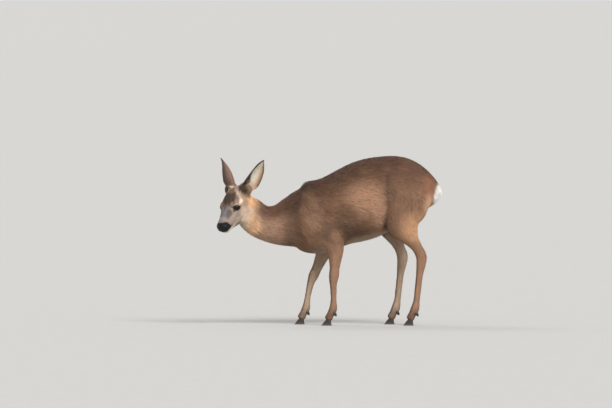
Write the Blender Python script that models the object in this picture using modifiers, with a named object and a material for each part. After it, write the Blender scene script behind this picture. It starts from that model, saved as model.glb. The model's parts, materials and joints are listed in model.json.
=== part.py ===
"""A young roe deer as a still, life-size model, standing and browsing with its head low.

The deer faces -X, so that its left side shows from -Y. The origin is on the floor, under the middle
of its box. All flesh is first made as overlapping lofts, which a voxel remesh fuses into one smooth
body. Thin cuts then part that body into head, neck, trunk, tail and legs. Ears, eyes and hooves are
solids of their own. Lengths are in metres.
"""

import math

import bmesh
import bpy
import numpy as np
from mathutils import Euler, Matrix, Vector

# Driving sizes
GAP = 0.0003  # between two pieces that meet
VOXEL = 0.0042  # of the remesh that fuses the flesh
FLESH_FACES = 4750  # triangles that the fused flesh keeps
EYE_RADIUS = 0.0130
EAR_LENGTH = 0.141
EAR_THICKNESS = 0.0042
FORE_TRACK = 0.063  # half the distance between the two forelegs
HIND_TRACK = 0.066
CORONET_HEIGHT = 0.026  # top of the hoof at its toe
CORONET_SLOPE = math.radians(16)
CLAW_LENGTH = 0.041
CLAW_WIDTH = 0.0158

# The head hangs from the end of the neck: it is turned towards the deer's left, dropped and rolled.
HEAD_AT = Vector((-0.351, -0.028, 0.525))
HEAD_TURN = math.radians(52)
HEAD_DROP = math.radians(47)
HEAD_ROLL = math.radians(2.5)
EYE_AT = (0.0900, 0.0340, 0.0190)  # along the head, to the side, up
EAR_AT = (-0.009, 0.024, 0.0235)
EAR_TIP = {1: (-0.65, 0.62, 0.43), -1: (-0.64, -0.52, 0.56)}  # where the ears point
EAR_OPENING = {1: (0.62, 0.77, -0.18), -1: (0.58, -0.81, -0.09)}  # and where they open

# The muscle behind the ear's root, in the ear's frame: along, towards the crown, opening, radius.
EAR_BASE = [
    (-0.014, 0.0100, -0.0050, 0.0120),
    (0.004, 0.0105, -0.0030, 0.0130),
    (0.022, 0.0120, 0.0010, 0.0085),
    (0.040, 0.0140, 0.0045, 0.0035),
]

# Trunk, from breast to rump: place along X, height of back, height of belly, half width, egg shape.
TRUNK = [
    (-0.162, 0.456, 0.365, 0.030, 0.00),
    (-0.146, 0.487, 0.327, 0.045, 0.05),
    (-0.126, 0.530, 0.305, 0.057, 0.12),
    (-0.102, 0.574, 0.292, 0.068, 0.22),
    (-0.071, 0.579, 0.286, 0.079, 0.30),
    (-0.031, 0.590, 0.287, 0.087, 0.28),
    (0.022, 0.617, 0.301, 0.097, 0.22),
    (0.082, 0.647, 0.324, 0.105, 0.16),
    (0.142, 0.666, 0.336, 0.109, 0.12),
    (0.194, 0.674, 0.352, 0.105, 0.08),
    (0.242, 0.677, 0.376, 0.098, 0.04),
    (0.289, 0.674, 0.401, 0.092, 0.02),
    (0.338, 0.657, 0.429, 0.086, 0.02),
    (0.382, 0.628, 0.459, 0.076, 0.02),
    (0.414, 0.596, 0.480, 0.062, 0.00),
    (0.436, 0.566, 0.497, 0.045, 0.00),
    (0.451, 0.547, 0.511, 0.029, 0.00),
]
# Neck, from the skull back into the shoulders: x, y, z, radius above, radius below, half width, egg.
NECK = [
    (-0.339, -0.027, 0.504, 0.045, 0.042, 0.038, 0.0),
    (-0.320, -0.023, 0.465, 0.058, 0.064, 0.043, 0.0),
    (-0.290, -0.018, 0.430, 0.061, 0.073, 0.045, 0.0),
    (-0.250, -0.010, 0.412, 0.067, 0.077, 0.047, 0.0),
    (-0.203, -0.004, 0.408, 0.078, 0.090, 0.056, 0.05),
    (-0.150, 0.000, 0.420, 0.095, 0.114, 0.067, 0.10),
    (-0.094, 0.000, 0.436, 0.112, 0.126, 0.079, 0.15),
    (-0.038, 0.000, 0.446, 0.106, 0.118, 0.082, 0.15),
]
# Head in its own frame, from nape to nose: along, centre height, up, down, half width, egg.
HEAD = [
    (-0.020, 0.000, 0.034, 0.038, 0.030, 0.00),
    (0.002, 0.000, 0.047, 0.054, 0.040, 0.00),
    (0.025, 0.000, 0.055, 0.066, 0.0455, -0.04),
    (0.050, 0.000, 0.057, 0.073, 0.0475, -0.10),
    (0.077, 0.000, 0.0505, 0.070, 0.0460, -0.14),
    (0.099, 0.000, 0.0425, 0.066, 0.0405, -0.12),
    (0.122, 0.000, 0.0350, 0.056, 0.0340, -0.06),
    (0.145, 0.000, 0.0295, 0.044, 0.0290, -0.02),
    (0.167, 0.000, 0.0255, 0.035, 0.0267, 0.00),
    (0.184, 0.000, 0.0225, 0.029, 0.0250, 0.00),
    (0.197, 0.000, 0.0190, 0.0220, 0.0210, 0.00),
]
# Foreleg, from the shoulder blade down: x, z, reach to the rear, reach to the front, half width,
# and how far its middle stands out from the leg's track.
FORELEG = [
    (-0.086, 0.541, 0.030, 0.024, 0.021, -0.032),
    (-0.086, 0.507, 0.050, 0.037, 0.028, -0.021),
    (-0.084, 0.458, 0.068, 0.052, 0.035, -0.008),
    (-0.073, 0.419, 0.082, 0.069, 0.037, -0.002),
    (-0.048, 0.388, 0.089, 0.078, 0.037, 0.002),
    (-0.012, 0.359, 0.070, 0.063, 0.034, 0.003),
    (0.012, 0.332, 0.049, 0.045, 0.029, 0.002),
    (0.021, 0.302, 0.037, 0.034, 0.026, 0.001),
    (0.022, 0.263, 0.026, 0.025, 0.0205, 0.000),
    (0.020, 0.222, 0.0195, 0.0195, 0.0170, 0.000),
    (0.017, 0.195, 0.0205, 0.0200, 0.0180, 0.000),
    (0.015, 0.174, 0.0160, 0.0155, 0.0155, 0.000),
    (0.016, 0.137, 0.0125, 0.0125, 0.0115, 0.000),
    (0.016, 0.093, 0.0125, 0.0125, 0.0115, 0.000),
    (0.013, 0.065, 0.0175, 0.0155, 0.0150, 0.000),
    (0.002, 0.042, 0.0150, 0.0140, 0.0150, 0.000),
    (-0.008, 0.021, 0.0180, 0.0180, 0.0175, 0.000),
]
# Hind leg, from the croup down, in the same columns.
HINDLEG = [
    (0.311, 0.605, 0.048, 0.048, 0.027, -0.029),
    (0.314, 0.556, 0.084, 0.084, 0.037, -0.018),
    (0.313, 0.507, 0.093, 0.094, 0.043, -0.009),
    (0.306, 0.468, 0.084, 0.091, 0.044, -0.004),
    (0.294, 0.436, 0.076, 0.080, 0.042, -0.001),
    (0.290, 0.409, 0.070, 0.072, 0.038, 0.001),
    (0.303, 0.380, 0.061, 0.060, 0.033, 0.002),
    (0.321, 0.352, 0.037, 0.039, 0.028, 0.001),
    (0.337, 0.326, 0.027, 0.0235, 0.022, 0.000),
    (0.355, 0.301, 0.0225, 0.0205, 0.0185, 0.000),
    (0.365, 0.275, 0.0250, 0.0200, 0.0175, 0.000),
    (0.365, 0.247, 0.0205, 0.0185, 0.0160, 0.000),
    (0.360, 0.209, 0.0150, 0.0145, 0.0130, 0.000),
    (0.353, 0.146, 0.0133, 0.0133, 0.0120, 0.000),
    (0.347, 0.096, 0.0133, 0.0133, 0.0125, 0.000),
    (0.340, 0.066, 0.0185, 0.0165, 0.0155, 0.000),
    (0.329, 0.043, 0.0155, 0.0145, 0.0155, 0.000),
    (0.319, 0.021, 0.0180, 0.0180, 0.0175, 0.000),
]
# How far forward of the left leg the right one stands, and the height at which it has got there.
FORE_STEP, FORE_STEP_FROM, FORE_STEP_AT = 0.108, 0.484, 0.056
HIND_STEP, HIND_STEP_FROM, HIND_STEP_AT = 0.075, 0.540, 0.270

# The regions that part the flesh, as outlines in x and z. The legs begin this far from the middle.
HEAD_REGION = [(-0.90, 1.0), (-0.077, 1.0), (-0.371, 0.30), (-0.50, 0.0), (-0.90, 0.0)]
NECK_REGION = [(-1.0, 1.2), (-0.042, 1.2), (-0.158, 0.252), (-0.19, -0.2), (-1.0, -0.2)]
TAIL_REGION = [(0.430, 0.535), (0.52, 0.535), (0.52, 0.66), (0.442, 0.605)]
FORELEG_REGION = [
    [(-0.135, 0.377), (0.070, 0.377), (0.079, 0.316), (0.060, -0.05), (-0.060, -0.05)],
    [(-0.135, 0.377), (0.060, 0.377), (0.065, 0.316), (0.000, -0.05), (-0.177, -0.05)],
]
HINDLEG_REGION = [
    [(0.206, 0.420), (0.52, 0.540), (0.52, -0.05), (0.270, -0.05), (0.206, 0.358)],
    [(0.186, 0.412), (0.52, 0.540), (0.52, -0.05), (0.186, -0.05), (0.177, 0.358)],
]
FORE_INSIDE = 0.028
HIND_INSIDE = 0.002

COAT = ((0.33, 0.22, 0.16), 0.8)
HORN = ((0.035, 0.030, 0.028), 0.45)
EYE = ((0.020, 0.012, 0.010), 0.1)


def material(name, colour, roughness):
    """A plain Principled material."""
    made = bpy.data.materials.new(name)
    made.use_nodes = True
    shader = made.node_tree.nodes["Principled BSDF"]
    shader.inputs["Base Color"].default_value = (*colour, 1.0)
    shader.inputs["Roughness"].default_value = roughness
    return made


def finer(rows, count):
    """The rows read at count places, by a cubic through them. The places crowd towards both ends."""
    rows = np.array(rows, float)
    steps = np.linalg.norm(np.diff(rows[:, :3], axis=0), axis=1)
    place = np.concatenate([[0.0], np.cumsum(steps)])
    slope = np.gradient(rows, place, axis=0)
    at = place[-1] * (1 - np.cos(np.pi * np.arange(count) / (count - 1))) / 2
    i = np.clip(np.searchsorted(place, at, side="right") - 1, 0, len(rows) - 2)
    span = (place[i + 1] - place[i])[:, None]
    t = (at - place[i])[:, None] / span
    curve = (
        (2 * t**3 - 3 * t**2 + 1) * rows[i]
        + (t**3 - 2 * t**2 + t) * span * slope[i]
        + (3 * t**2 - 2 * t**3) * rows[i + 1]
        + (t**3 - t**2) * span * slope[i + 1]
    )
    return curve, at, place[-1]


def loft(rows, side, rounding, rings=48, around=40, upright=False):
    """Points and faces of a closed loft. Each row is x, y, z, reach one way, reach the other way,
    half width and egg shape. The first reach lies along tangent x side, or straight up where the
    rings are upright. A positive egg shape is narrower on that side. The ends are rounded over the
    two lengths in rounding."""
    curve, at, length = finer(rows, rings)
    centre, radii = curve[:, :3], curve[:, 3:]
    tangent = np.gradient(centre, at, axis=0)
    tangent /= np.linalg.norm(tangent, axis=1, keepdims=True)
    across = np.array(side, float) - tangent * (tangent @ np.array(side, float))[:, None]
    across /= np.linalg.norm(across, axis=1, keepdims=True)
    up = np.cross(tangent, across)
    if upright:
        across, up = 0 * across + (0, 1, 0), 0 * up + (0, 0, 1)
    from_ends = np.minimum(at / rounding[0], (length - at) / rounding[1]).clip(0, 1)
    blunt = np.sqrt(1 - (1 - from_ends) ** 2)[1:-1, None]
    angle = 2 * np.pi * np.arange(around) / around
    rise, spread = np.cos(angle), np.sin(angle)
    one, other, half, egg = (radii[1:-1, k, None] for k in range(4))
    height = blunt * np.where(rise > 0, one, other) * rise
    width = blunt * half * spread * (1 - egg * rise)
    ring_points = (
        centre[1:-1, None, :]
        + height[..., None] * up[1:-1, None, :]
        + width[..., None] * across[1:-1, None, :]
    )
    points = np.vstack([ring_points.reshape(-1, 3), centre[0], centre[-1]])
    inner = rings - 2
    first, last = inner * around, inner * around + 1
    faces = []
    for j in range(around):
        k = (j + 1) % around
        faces.append((first, k, j))
        faces.append((last, (inner - 1) * around + j, (inner - 1) * around + k))
        for i in range(inner - 1):
            a, b = i * around, (i + 1) * around
            faces.append((a + j, a + k, b + k, b + j))
    return points, faces


def ball(at, radii, rings=20, around=28):
    """Points and faces of an ellipsoid."""
    x, y, z = at
    reach = radii[0]
    rows = [(x + reach * s, y, z, radii[2], radii[2], radii[1], 0.0) for s in (-1, 0, 1)]
    return loft(rows, (0, 1, 0), (reach, reach), rings, around)


def head_matrix():
    """From the head's frame (towards the nose, towards its left, up) to the deer's."""
    forward = Vector(
        (
            -math.cos(HEAD_DROP) * math.cos(HEAD_TURN),
            -math.cos(HEAD_DROP) * math.sin(HEAD_TURN),
            -math.sin(HEAD_DROP),
        )
    )
    left = Vector((math.sin(HEAD_TURN), -math.cos(HEAD_TURN), 0.0))
    left = Matrix.Rotation(HEAD_ROLL, 3, forward) @ left
    up = forward.cross(left)
    turned = Matrix((forward, left, up)).transposed().to_4x4()
    return Matrix.Translation(HEAD_AT) @ turned


def moved(shape, matrix):
    """A shape's points, taken through a matrix."""
    points, faces = shape
    turn = np.array(matrix.to_3x3())
    return points @ turn.T + np.array(matrix.translation), faces


def stepped(rows, step, start, end):
    """Leg rows with the leg swung forward by step, from the height start down to the height end."""
    made = []
    for x, z, *rest in rows:
        share = min(max((start - z) / (start - end), 0.0), 1.0)
        made.append((x - step * share * share * (3 - 2 * share), z, *rest))
    return made


def leg(rows, track, way):
    """The loft of one leg. The way is -1 for the left leg and 1 for the right one."""
    full = [
        (x, way * (track + out), z, rear, front, half, 0.0)
        for x, z, rear, front, half, out in rows
    ]
    return loft(full, (0, 1, 0), (0.03, 0.01), rings=64, around=28)


def mesh_object(name, shape, collection):
    """A new object with this shape, smooth shaded."""
    mesh = bpy.data.meshes.new(name)
    mesh.from_pydata(shape[0].tolist(), [], shape[1])
    mesh.shade_smooth()
    made = bpy.data.objects.new(name, mesh)
    collection.objects.link(made)
    return made


def joined(shapes):
    """Several shapes as one, still overlapping."""
    points, faces, count = [], [], 0
    for some_points, some_faces in shapes:
        points.append(some_points)
        faces += [tuple(i + count for i in face) for face in some_faces]
        count += len(some_points)
    return np.vstack(points), faces


def applied(obj):
    """The object's mesh as its modifiers leave it, which then replaces mesh and modifiers."""
    bpy.context.view_layer.update()
    graph = bpy.context.evaluated_depsgraph_get()
    obj.data = bpy.data.meshes.new_from_object(obj.evaluated_get(graph))
    obj.modifiers.clear()
    return obj


def weigh(obj, name, weight_of):
    """A vertex group whose weights are a function of the points."""
    group = obj.vertex_groups.new(name=name)
    for vertex in obj.data.vertices:
        group.add([vertex.index], weight_of(vertex.co), "REPLACE")


def fleshy(point):
    """1 on the heavy parts of the body, falling to little on the head and the thin legs."""
    legs = min(max((point.z - 0.27) / 0.10, 0.05), 1.0)
    head = min(max((point.x + 0.36) / 0.07, 0.12), 1.0)
    return min(legs, head)


def fused_flesh(collection):
    """All flesh but the ears as one smooth closed body."""
    head = head_matrix()
    skull = [(s, 0.0, u, up, down, half, egg) for s, u, up, down, half, egg in HEAD]
    trunk = [
        (x, 0.0, (top + low) / 2, (top - low) / 2, (top - low) / 2, half, egg)
        for x, top, low, half, egg in TRUNK
    ]
    shapes = [
        loft(trunk, (0, 1, 0), (0.02, 0.022), rings=72, around=56, upright=True),
        loft(NECK, (0, 1, 0), (0.03, 0.03)),
        moved(loft(skull, (0, 1, 0), (0.014, 0.012)), head),
        leg(FORELEG, FORE_TRACK, -1),
        leg(stepped(FORELEG, FORE_STEP, FORE_STEP_FROM, FORE_STEP_AT), FORE_TRACK, 1),
        leg(HINDLEG, HIND_TRACK, -1),
        leg(stepped(HINDLEG, HIND_STEP, HIND_STEP_FROM, HIND_STEP_AT), HIND_TRACK, 1),
        ball((0.424, 0.0, 0.555), (0.014, 0.011, 0.022)),
    ]
    for way in (-1, 1):
        along, out, rise = EYE_AT
        brow = ball((along - 0.006, way * (out - 0.005), rise + 0.003), (0.027, 0.014, 0.020))
        shapes.append(moved(brow, head))
        pedicle = ball((0.014, way * 0.0175, 0.052), (0.010, 0.009, 0.013))
        shapes.append(moved(pedicle, head))
        root = ball((0.0, way * 0.004, 0.0170), (0.030, 0.028, 0.026))
        shapes.append(moved(root, ear_matrix(way)))
        behind = [(x, way * y, z, thick, thick, thick, 0.0) for x, y, z, thick in EAR_BASE]
        shapes.append(moved(loft(behind, (0, 1, 0), (0.012, 0.003), 24, 24), ear_matrix(way)))
    flesh = mesh_object("flesh", joined(shapes), collection)
    remesh = flesh.modifiers.new("fuse", "REMESH")
    remesh.mode = "VOXEL"
    remesh.voxel_size = VOXEL
    applied(flesh)
    weigh(flesh, "fleshy", fleshy)
    smooth = flesh.modifiers.new("blend", "SMOOTH")
    smooth.factor = 0.5
    smooth.iterations = 36
    smooth.vertex_group = "fleshy"
    applied(flesh)
    count = sum(len(face.vertices) - 2 for face in flesh.data.polygons)
    fewer = flesh.modifiers.new("fewer", "DECIMATE")
    fewer.ratio = FLESH_FACES / count
    return applied(flesh)


def hidden(obj, collection):
    """Makes the object one of the cutters, which show as wires only."""
    for owner in list(obj.users_collection):
        owner.objects.unlink(obj)
    collection.objects.link(obj)
    obj.hide_render = True
    obj.display_type = "WIRE"
    return obj


def grown(obj, collection, by):
    """A copy of a cutter whose faces lie further out."""
    made = hidden(bpy.data.objects.new(f"{obj.name}_grown", obj.data), collection)
    swell = made.modifiers.new("swell", "DISPLACE")
    swell.strength = by
    swell.mid_level = 0
    return made


def prism(name, collection, outline, low, high):
    """A cutter with this outline in x and z, which reaches in y from low to high."""
    count = len(outline)
    points = [(x, y, z) for y in (low, high) for x, z in outline]
    faces = [tuple(range(count)), tuple(range(count, 2 * count))[::-1]]
    faces += [(i, i + count, (i + 1) % count + count, (i + 1) % count) for i in range(count)]
    mesh = bpy.data.meshes.new(name)
    mesh.from_pydata(points, [], faces)
    made = hidden(bpy.data.objects.new(name, mesh), collection)
    outward(made)
    return made


def boolean(obj, operation, other):
    """A Boolean modifier on obj."""
    step = obj.modifiers.new(f"{operation.lower()}_{other.name}", "BOOLEAN")
    step.operation = operation
    step.object = other
    step.solver = "EXACT"


def eased(share):
    """0 up to 0, 1 from 1, and a cubic between them."""
    share = np.clip(share, 0, 1)
    return share * share * (3 - 2 * share)


def ear_shape(way, lengthwise=12, crosswise=7):
    """The ear's sheet as points and faces: a leaf, rolled into a cup that opens sideways. Its width
    is greatest low down and follows a falling sine above it. Towards the root the cup narrows into
    a nearly closed funnel."""
    s = np.linspace(0, 1, lengthwise)[:, None]
    t = np.linspace(-1, 1, crosswise)[None, :]
    half = 0.0500 * np.sin(np.pi * (0.38 + 0.62 * s) ** 1.05).clip(0) ** 0.92
    half = np.maximum(half * (0.80 + 0.20 * eased(s / 0.30)), 0.0012)
    radius = 0.0355 - 0.005 * np.minimum(s / 0.5, 1) ** 0.8
    opened = eased((s + 0.05) / 0.29)
    radius *= 0.50 + 0.50 * opened
    curl = t * half / radius
    back = -0.010 * np.sin(np.pi * s)
    bow = -0.005 * np.sin(np.pi * s**1.5)
    along = EAR_LENGTH * s + 0 * t
    open_way = back + radius * (1 - np.cos(curl))
    aside = radius * np.sin(curl) + bow + 0.006 * (1 - opened)
    points = np.stack([along, way * aside, open_way], axis=-1).reshape(-1, 3)
    faces = []
    for i in range(lengthwise - 1):
        for j in range(crosswise - 1):
            a = i * crosswise + j
            quad = (a, a + 1, a + 1 + crosswise, a + crosswise)
            faces.append(quad if way > 0 else quad[::-1])
    return points, faces


def ear_matrix(way):
    """From the ear's frame (towards its tip, across, towards its opening) to the deer's. The way
    is 1 for the left ear."""
    head = head_matrix()
    along, out, rise = EAR_AT
    tip = Vector(EAR_TIP[way]).normalized()
    opening = Vector(EAR_OPENING[way])
    opening = (opening - tip * opening.dot(tip)).normalized()
    across = opening.cross(tip)
    frame = Matrix((tip, across, opening)).transposed().to_4x4()
    return head @ Matrix.Translation((along, way * out, rise)) @ frame


def ear(name, way, collection):
    """One ear: the sheet with its thickness."""
    made = mesh_object(name, moved(ear_shape(way), ear_matrix(way)), collection)
    wall = made.modifiers.new("wall", "SOLIDIFY")
    wall.thickness = EAR_THICKNESS
    wall.offset = 0
    return made


def claw_shape(around=12, rings=3):
    """One claw of a hoof, toe towards -X and the cleft at y = 0. Each ring is a drop shape that is
    narrow at the toe. The front wall slopes back, and the top follows the coronet's slope."""
    angle = 2 * np.pi * np.arange(around) / around
    points = []
    for h in np.linspace(0, 1, rings):
        front = -0.5 * CLAW_LENGTH + 0.020 * h
        rear = 0.5 * CLAW_LENGTH - 0.003 * h
        x = (front + rear) / 2 - (rear - front) / 2 * np.cos(angle)
        taper = 1 - 0.42 * np.cos(angle)
        y = CLAW_WIDTH / 2 * (1 + np.sin(angle) * taper / 1.1 * (1 - 0.05 * h))
        z = h * (CORONET_HEIGHT - GAP - math.tan(CORONET_SLOPE) * (x + 0.5 * CLAW_LENGTH - 0.02))
        points.append(np.stack([x, y + 0.0008, z], axis=-1))
    points = np.vstack(points)
    faces = [tuple(range(around))[::-1], tuple(range((rings - 1) * around, rings * around))]
    for i in range(rings - 1):
        for j in range(around):
            k = (j + 1) % around
            a, b = i * around, (i + 1) * around
            faces.append((a + j, a + k, b + k, b + j))
    return points, faces


def dewclaw_shape():
    """One dewclaw: an egg of horn whose lower end is the narrow one."""
    points, faces = ball((0, 0, 0), (0.0075, 0.0062, 0.011), 7, 8)
    points = np.array(points, dtype=float)
    points[:, :2] *= 0.85 + 0.25 * points[:, 2:] / 0.011
    return points, faces


def outward(obj):
    """Turns the object's faces outwards."""
    work = bmesh.new()
    work.from_mesh(obj.data)
    bmesh.ops.recalc_face_normals(work, faces=work.faces)
    work.to_mesh(obj.data)
    work.free()


def feet():
    """Name, way and place of each foot: the middle of its sole."""
    fore_x, hind_x = FORELEG[-1][0] - 0.004, HINDLEG[-1][0] - 0.004
    return [
        ("fore_left", -1, fore_x, FORE_TRACK),
        ("fore_right", 1, fore_x - FORE_STEP, FORE_TRACK),
        ("hind_left", -1, hind_x, HIND_TRACK),
        ("hind_right", 1, hind_x - HIND_STEP, HIND_TRACK),
    ]


def main():
    for old in list(bpy.data.objects):
        bpy.data.objects.remove(old, do_unlink=True)
    deer = bpy.data.collections.new("roe_deer")
    cutters = bpy.data.collections.new("cutters")
    for collection in (deer, cutters):
        bpy.context.scene.collection.children.link(collection)
    coat = material("coat", *COAT)
    horn = material("horn", *HORN)
    eye_material = material("eye", *EYE)

    flesh = fused_flesh(cutters)
    flesh.hide_render = True
    flesh.display_type = "WIRE"
    body = grown(flesh, cutters, GAP)

    def region(name, outline, low=-0.5, high=0.5):
        """The same prism twice: as it is, and larger by at least the gap."""
        exact = prism(name, cutters, outline, low, high)
        return exact, grown(exact, cutters, 2.5 * GAP)

    head_region = region("head_region", HEAD_REGION)
    neck_region = region("neck_region", NECK_REGION)
    tail_region = region("tail_region", TAIL_REGION)
    leg_regions = {
        "foreleg_left": region("foreleg_left_region", FORELEG_REGION[0], -0.5, -FORE_INSIDE),
        "foreleg_right": region("foreleg_right_region", FORELEG_REGION[1], FORE_INSIDE, 0.5),
        "hindleg_left": region("hindleg_left_region", HINDLEG_REGION[0], -0.5, -HIND_INSIDE),
        "hindleg_right": region("hindleg_right_region", HINDLEG_REGION[1], HIND_INSIDE, 0.5),
    }
    coronets = {}
    for name, way, x, track in feet():
        toe, heel = x - 0.08, x + 0.08
        rise = math.tan(CORONET_SLOPE)
        level = CORONET_HEIGHT + rise * (x - 0.5 * CLAW_LENGTH + 0.02)
        outline = [(toe, -0.05), (heel, -0.05), (heel, level - rise * heel), (toe, level - rise * toe)]
        coronets[name] = prism(
            f"coronet_{name}", cutters, outline, way * track - 0.04, way * track + 0.04
        )

    def flesh_node(name):
        made = bpy.data.objects.new(name, flesh.data.copy())
        deer.objects.link(made)
        made.data.materials.append(coat)
        return made

    eyes = {}
    for side, way in (("left", 1), ("right", -1)):
        bpy.ops.mesh.primitive_uv_sphere_add(segments=16, ring_count=9, radius=EYE_RADIUS)
        eye = bpy.context.object
        eye.name = f"eye_{side}"
        along, out, rise = EYE_AT
        eye.data.transform(head_matrix() @ Matrix.Translation((along, way * out, rise)))
        for owner in list(eye.users_collection):
            owner.objects.unlink(eye)
        deer.objects.link(eye)
        eye.data.materials.append(eye_material)
        eye.data.shade_smooth()
        socket = grown(eye, cutters, 1.2 * GAP)
        eyes[side] = socket

    head = flesh_node("head")
    boolean(head, "INTERSECT", head_region[0])
    boolean(head, "DIFFERENCE", eyes["left"])
    boolean(head, "DIFFERENCE", eyes["right"])
    neck = flesh_node("neck")
    boolean(neck, "INTERSECT", neck_region[0])
    boolean(neck, "DIFFERENCE", head_region[1])
    trunk = flesh_node("trunk")
    boolean(trunk, "DIFFERENCE", neck_region[1])
    boolean(trunk, "DIFFERENCE", tail_region[1])
    tail = flesh_node("tail")
    boolean(tail, "INTERSECT", tail_region[0])
    foot_of = {
        "foreleg_left": "fore_left",
        "foreleg_right": "fore_right",
        "hindleg_left": "hind_left",
        "hindleg_right": "hind_right",
    }
    for name, (exact, wide) in leg_regions.items():
        boolean(trunk, "DIFFERENCE", wide)
        limb = flesh_node(name)
        boolean(limb, "INTERSECT", exact)
        boolean(limb, "DIFFERENCE", coronets[foot_of[name]])

    for side, way in (("left", 1), ("right", -1)):
        made = ear(f"ear_{side}", way, deer)
        made.data.materials.append(coat)
        boolean(made, "DIFFERENCE", body)

    for name, way, x, track in feet():
        for part, turn in (("outer", way), ("inner", -way)):
            claw = mesh_object(f"claw_{name}_{part}", claw_shape(), deer)
            claw.data.transform(Matrix.Translation((x, way * track, 0)) @ Matrix.Diagonal((1, turn, 1, 1)))
            outward(claw)
            claw.data.materials.append(horn)
            dew = mesh_object(f"dewclaw_{name}_{part}", dewclaw_shape(), deer)
            dew.data.transform(
                Matrix.Translation((x + 0.034, way * track + turn * 0.0095, 0.046))
                @ Euler((0, math.radians(-32), 0)).to_matrix().to_4x4()
            )
            outward(dew)
            dew.data.materials.append(horn)
            boolean(dew, "DIFFERENCE", body)

    bpy.context.view_layer.update()
    graph = bpy.context.evaluated_depsgraph_get()
    corners = np.array([corner for obj in deer.objects for corner in obj.evaluated_get(graph).bound_box])
    middle = (corners.min(axis=0) + corners.max(axis=0)) / 2
    for obj in list(deer.objects) + list(cutters.objects):
        obj.location = (-middle[0], -middle[1], 0)


main()
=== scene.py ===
# %% [markdown]
# # A young roe deer, browsing
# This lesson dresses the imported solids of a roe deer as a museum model: one skin under a coat of
# tufts, with glossy eyes, a wet nose and dark hooves. Everything is in metres, in the solids' own
# frame: the deer faces -X, its left side looks towards -Y, and the floor is at z = 0.

import json
import math

import bpy
import numpy as np
from mathutils import Matrix, Vector

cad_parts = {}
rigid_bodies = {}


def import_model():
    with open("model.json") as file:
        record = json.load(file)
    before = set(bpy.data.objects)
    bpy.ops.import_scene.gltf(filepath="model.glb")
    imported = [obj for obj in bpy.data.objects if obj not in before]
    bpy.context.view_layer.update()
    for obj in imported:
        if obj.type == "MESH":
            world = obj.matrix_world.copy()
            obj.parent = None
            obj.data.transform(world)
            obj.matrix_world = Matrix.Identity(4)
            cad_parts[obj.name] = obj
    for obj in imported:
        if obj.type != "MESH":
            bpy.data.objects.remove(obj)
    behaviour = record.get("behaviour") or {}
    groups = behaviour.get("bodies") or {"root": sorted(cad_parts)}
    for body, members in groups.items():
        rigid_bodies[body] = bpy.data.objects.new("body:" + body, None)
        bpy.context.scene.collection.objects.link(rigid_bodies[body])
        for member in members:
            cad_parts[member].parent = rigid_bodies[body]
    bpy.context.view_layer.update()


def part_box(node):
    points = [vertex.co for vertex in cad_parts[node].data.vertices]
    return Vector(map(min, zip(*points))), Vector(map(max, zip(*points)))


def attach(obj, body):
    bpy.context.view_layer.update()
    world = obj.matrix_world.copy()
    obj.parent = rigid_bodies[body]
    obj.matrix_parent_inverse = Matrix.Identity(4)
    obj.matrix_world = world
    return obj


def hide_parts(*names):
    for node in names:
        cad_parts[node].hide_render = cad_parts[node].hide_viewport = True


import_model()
chance = np.random.default_rng(11)

# %% [markdown]
# ## The body's measurements
# An animal's body is a bundle of tapering tubes. Each table below gives one tube ring by ring: where
# the ring is and how far it reaches. The solids were made from the same tables, so that a skin made
# from them needs no fitting.

# %% Tables of rings
# Trunk, from breast to rump: place along X, height of back, height of belly, half width, egg shape.
TRUNK = [
    (-0.162, 0.456, 0.365, 0.030, 0.00),
    (-0.146, 0.487, 0.327, 0.045, 0.05),
    (-0.126, 0.530, 0.305, 0.057, 0.12),
    (-0.102, 0.574, 0.292, 0.068, 0.22),
    (-0.071, 0.579, 0.286, 0.079, 0.30),
    (-0.031, 0.590, 0.287, 0.087, 0.28),
    (0.022, 0.617, 0.301, 0.097, 0.22),
    (0.082, 0.647, 0.324, 0.105, 0.16),
    (0.142, 0.666, 0.336, 0.109, 0.12),
    (0.194, 0.674, 0.352, 0.105, 0.08),
    (0.242, 0.677, 0.376, 0.098, 0.04),
    (0.289, 0.674, 0.401, 0.092, 0.02),
    (0.338, 0.657, 0.429, 0.086, 0.02),
    (0.382, 0.628, 0.459, 0.076, 0.02),
    (0.414, 0.596, 0.480, 0.062, 0.00),
    (0.436, 0.566, 0.497, 0.045, 0.00),
    (0.451, 0.547, 0.511, 0.029, 0.00),
]
# Neck, from the skull back into the shoulders: x, y, z, radius above, radius below, half width, egg.
NECK = [
    (-0.339, -0.027, 0.504, 0.045, 0.042, 0.038, 0.0),
    (-0.320, -0.023, 0.465, 0.058, 0.064, 0.043, 0.0),
    (-0.290, -0.018, 0.430, 0.061, 0.073, 0.045, 0.0),
    (-0.250, -0.010, 0.412, 0.067, 0.077, 0.047, 0.0),
    (-0.203, -0.004, 0.408, 0.078, 0.090, 0.056, 0.05),
    (-0.150, 0.000, 0.420, 0.095, 0.114, 0.067, 0.10),
    (-0.094, 0.000, 0.436, 0.112, 0.126, 0.079, 0.15),
    (-0.038, 0.000, 0.446, 0.106, 0.118, 0.082, 0.15),
]
# Head in its own frame, from nape to nose: along, up, down, half width, egg.
HEAD = [
    (-0.020, 0.034, 0.038, 0.030, 0.00),
    (0.002, 0.047, 0.054, 0.040, 0.00),
    (0.025, 0.055, 0.066, 0.0455, -0.04),
    (0.050, 0.057, 0.073, 0.0475, -0.10),
    (0.077, 0.0505, 0.070, 0.0460, -0.14),
    (0.099, 0.0425, 0.066, 0.0405, -0.12),
    (0.122, 0.0350, 0.056, 0.0340, -0.06),
    (0.145, 0.0295, 0.044, 0.0290, -0.02),
    (0.167, 0.0255, 0.035, 0.0267, 0.00),
    (0.184, 0.0225, 0.029, 0.0250, 0.00),
    (0.197, 0.0190, 0.0220, 0.0210, 0.00),
]
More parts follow.
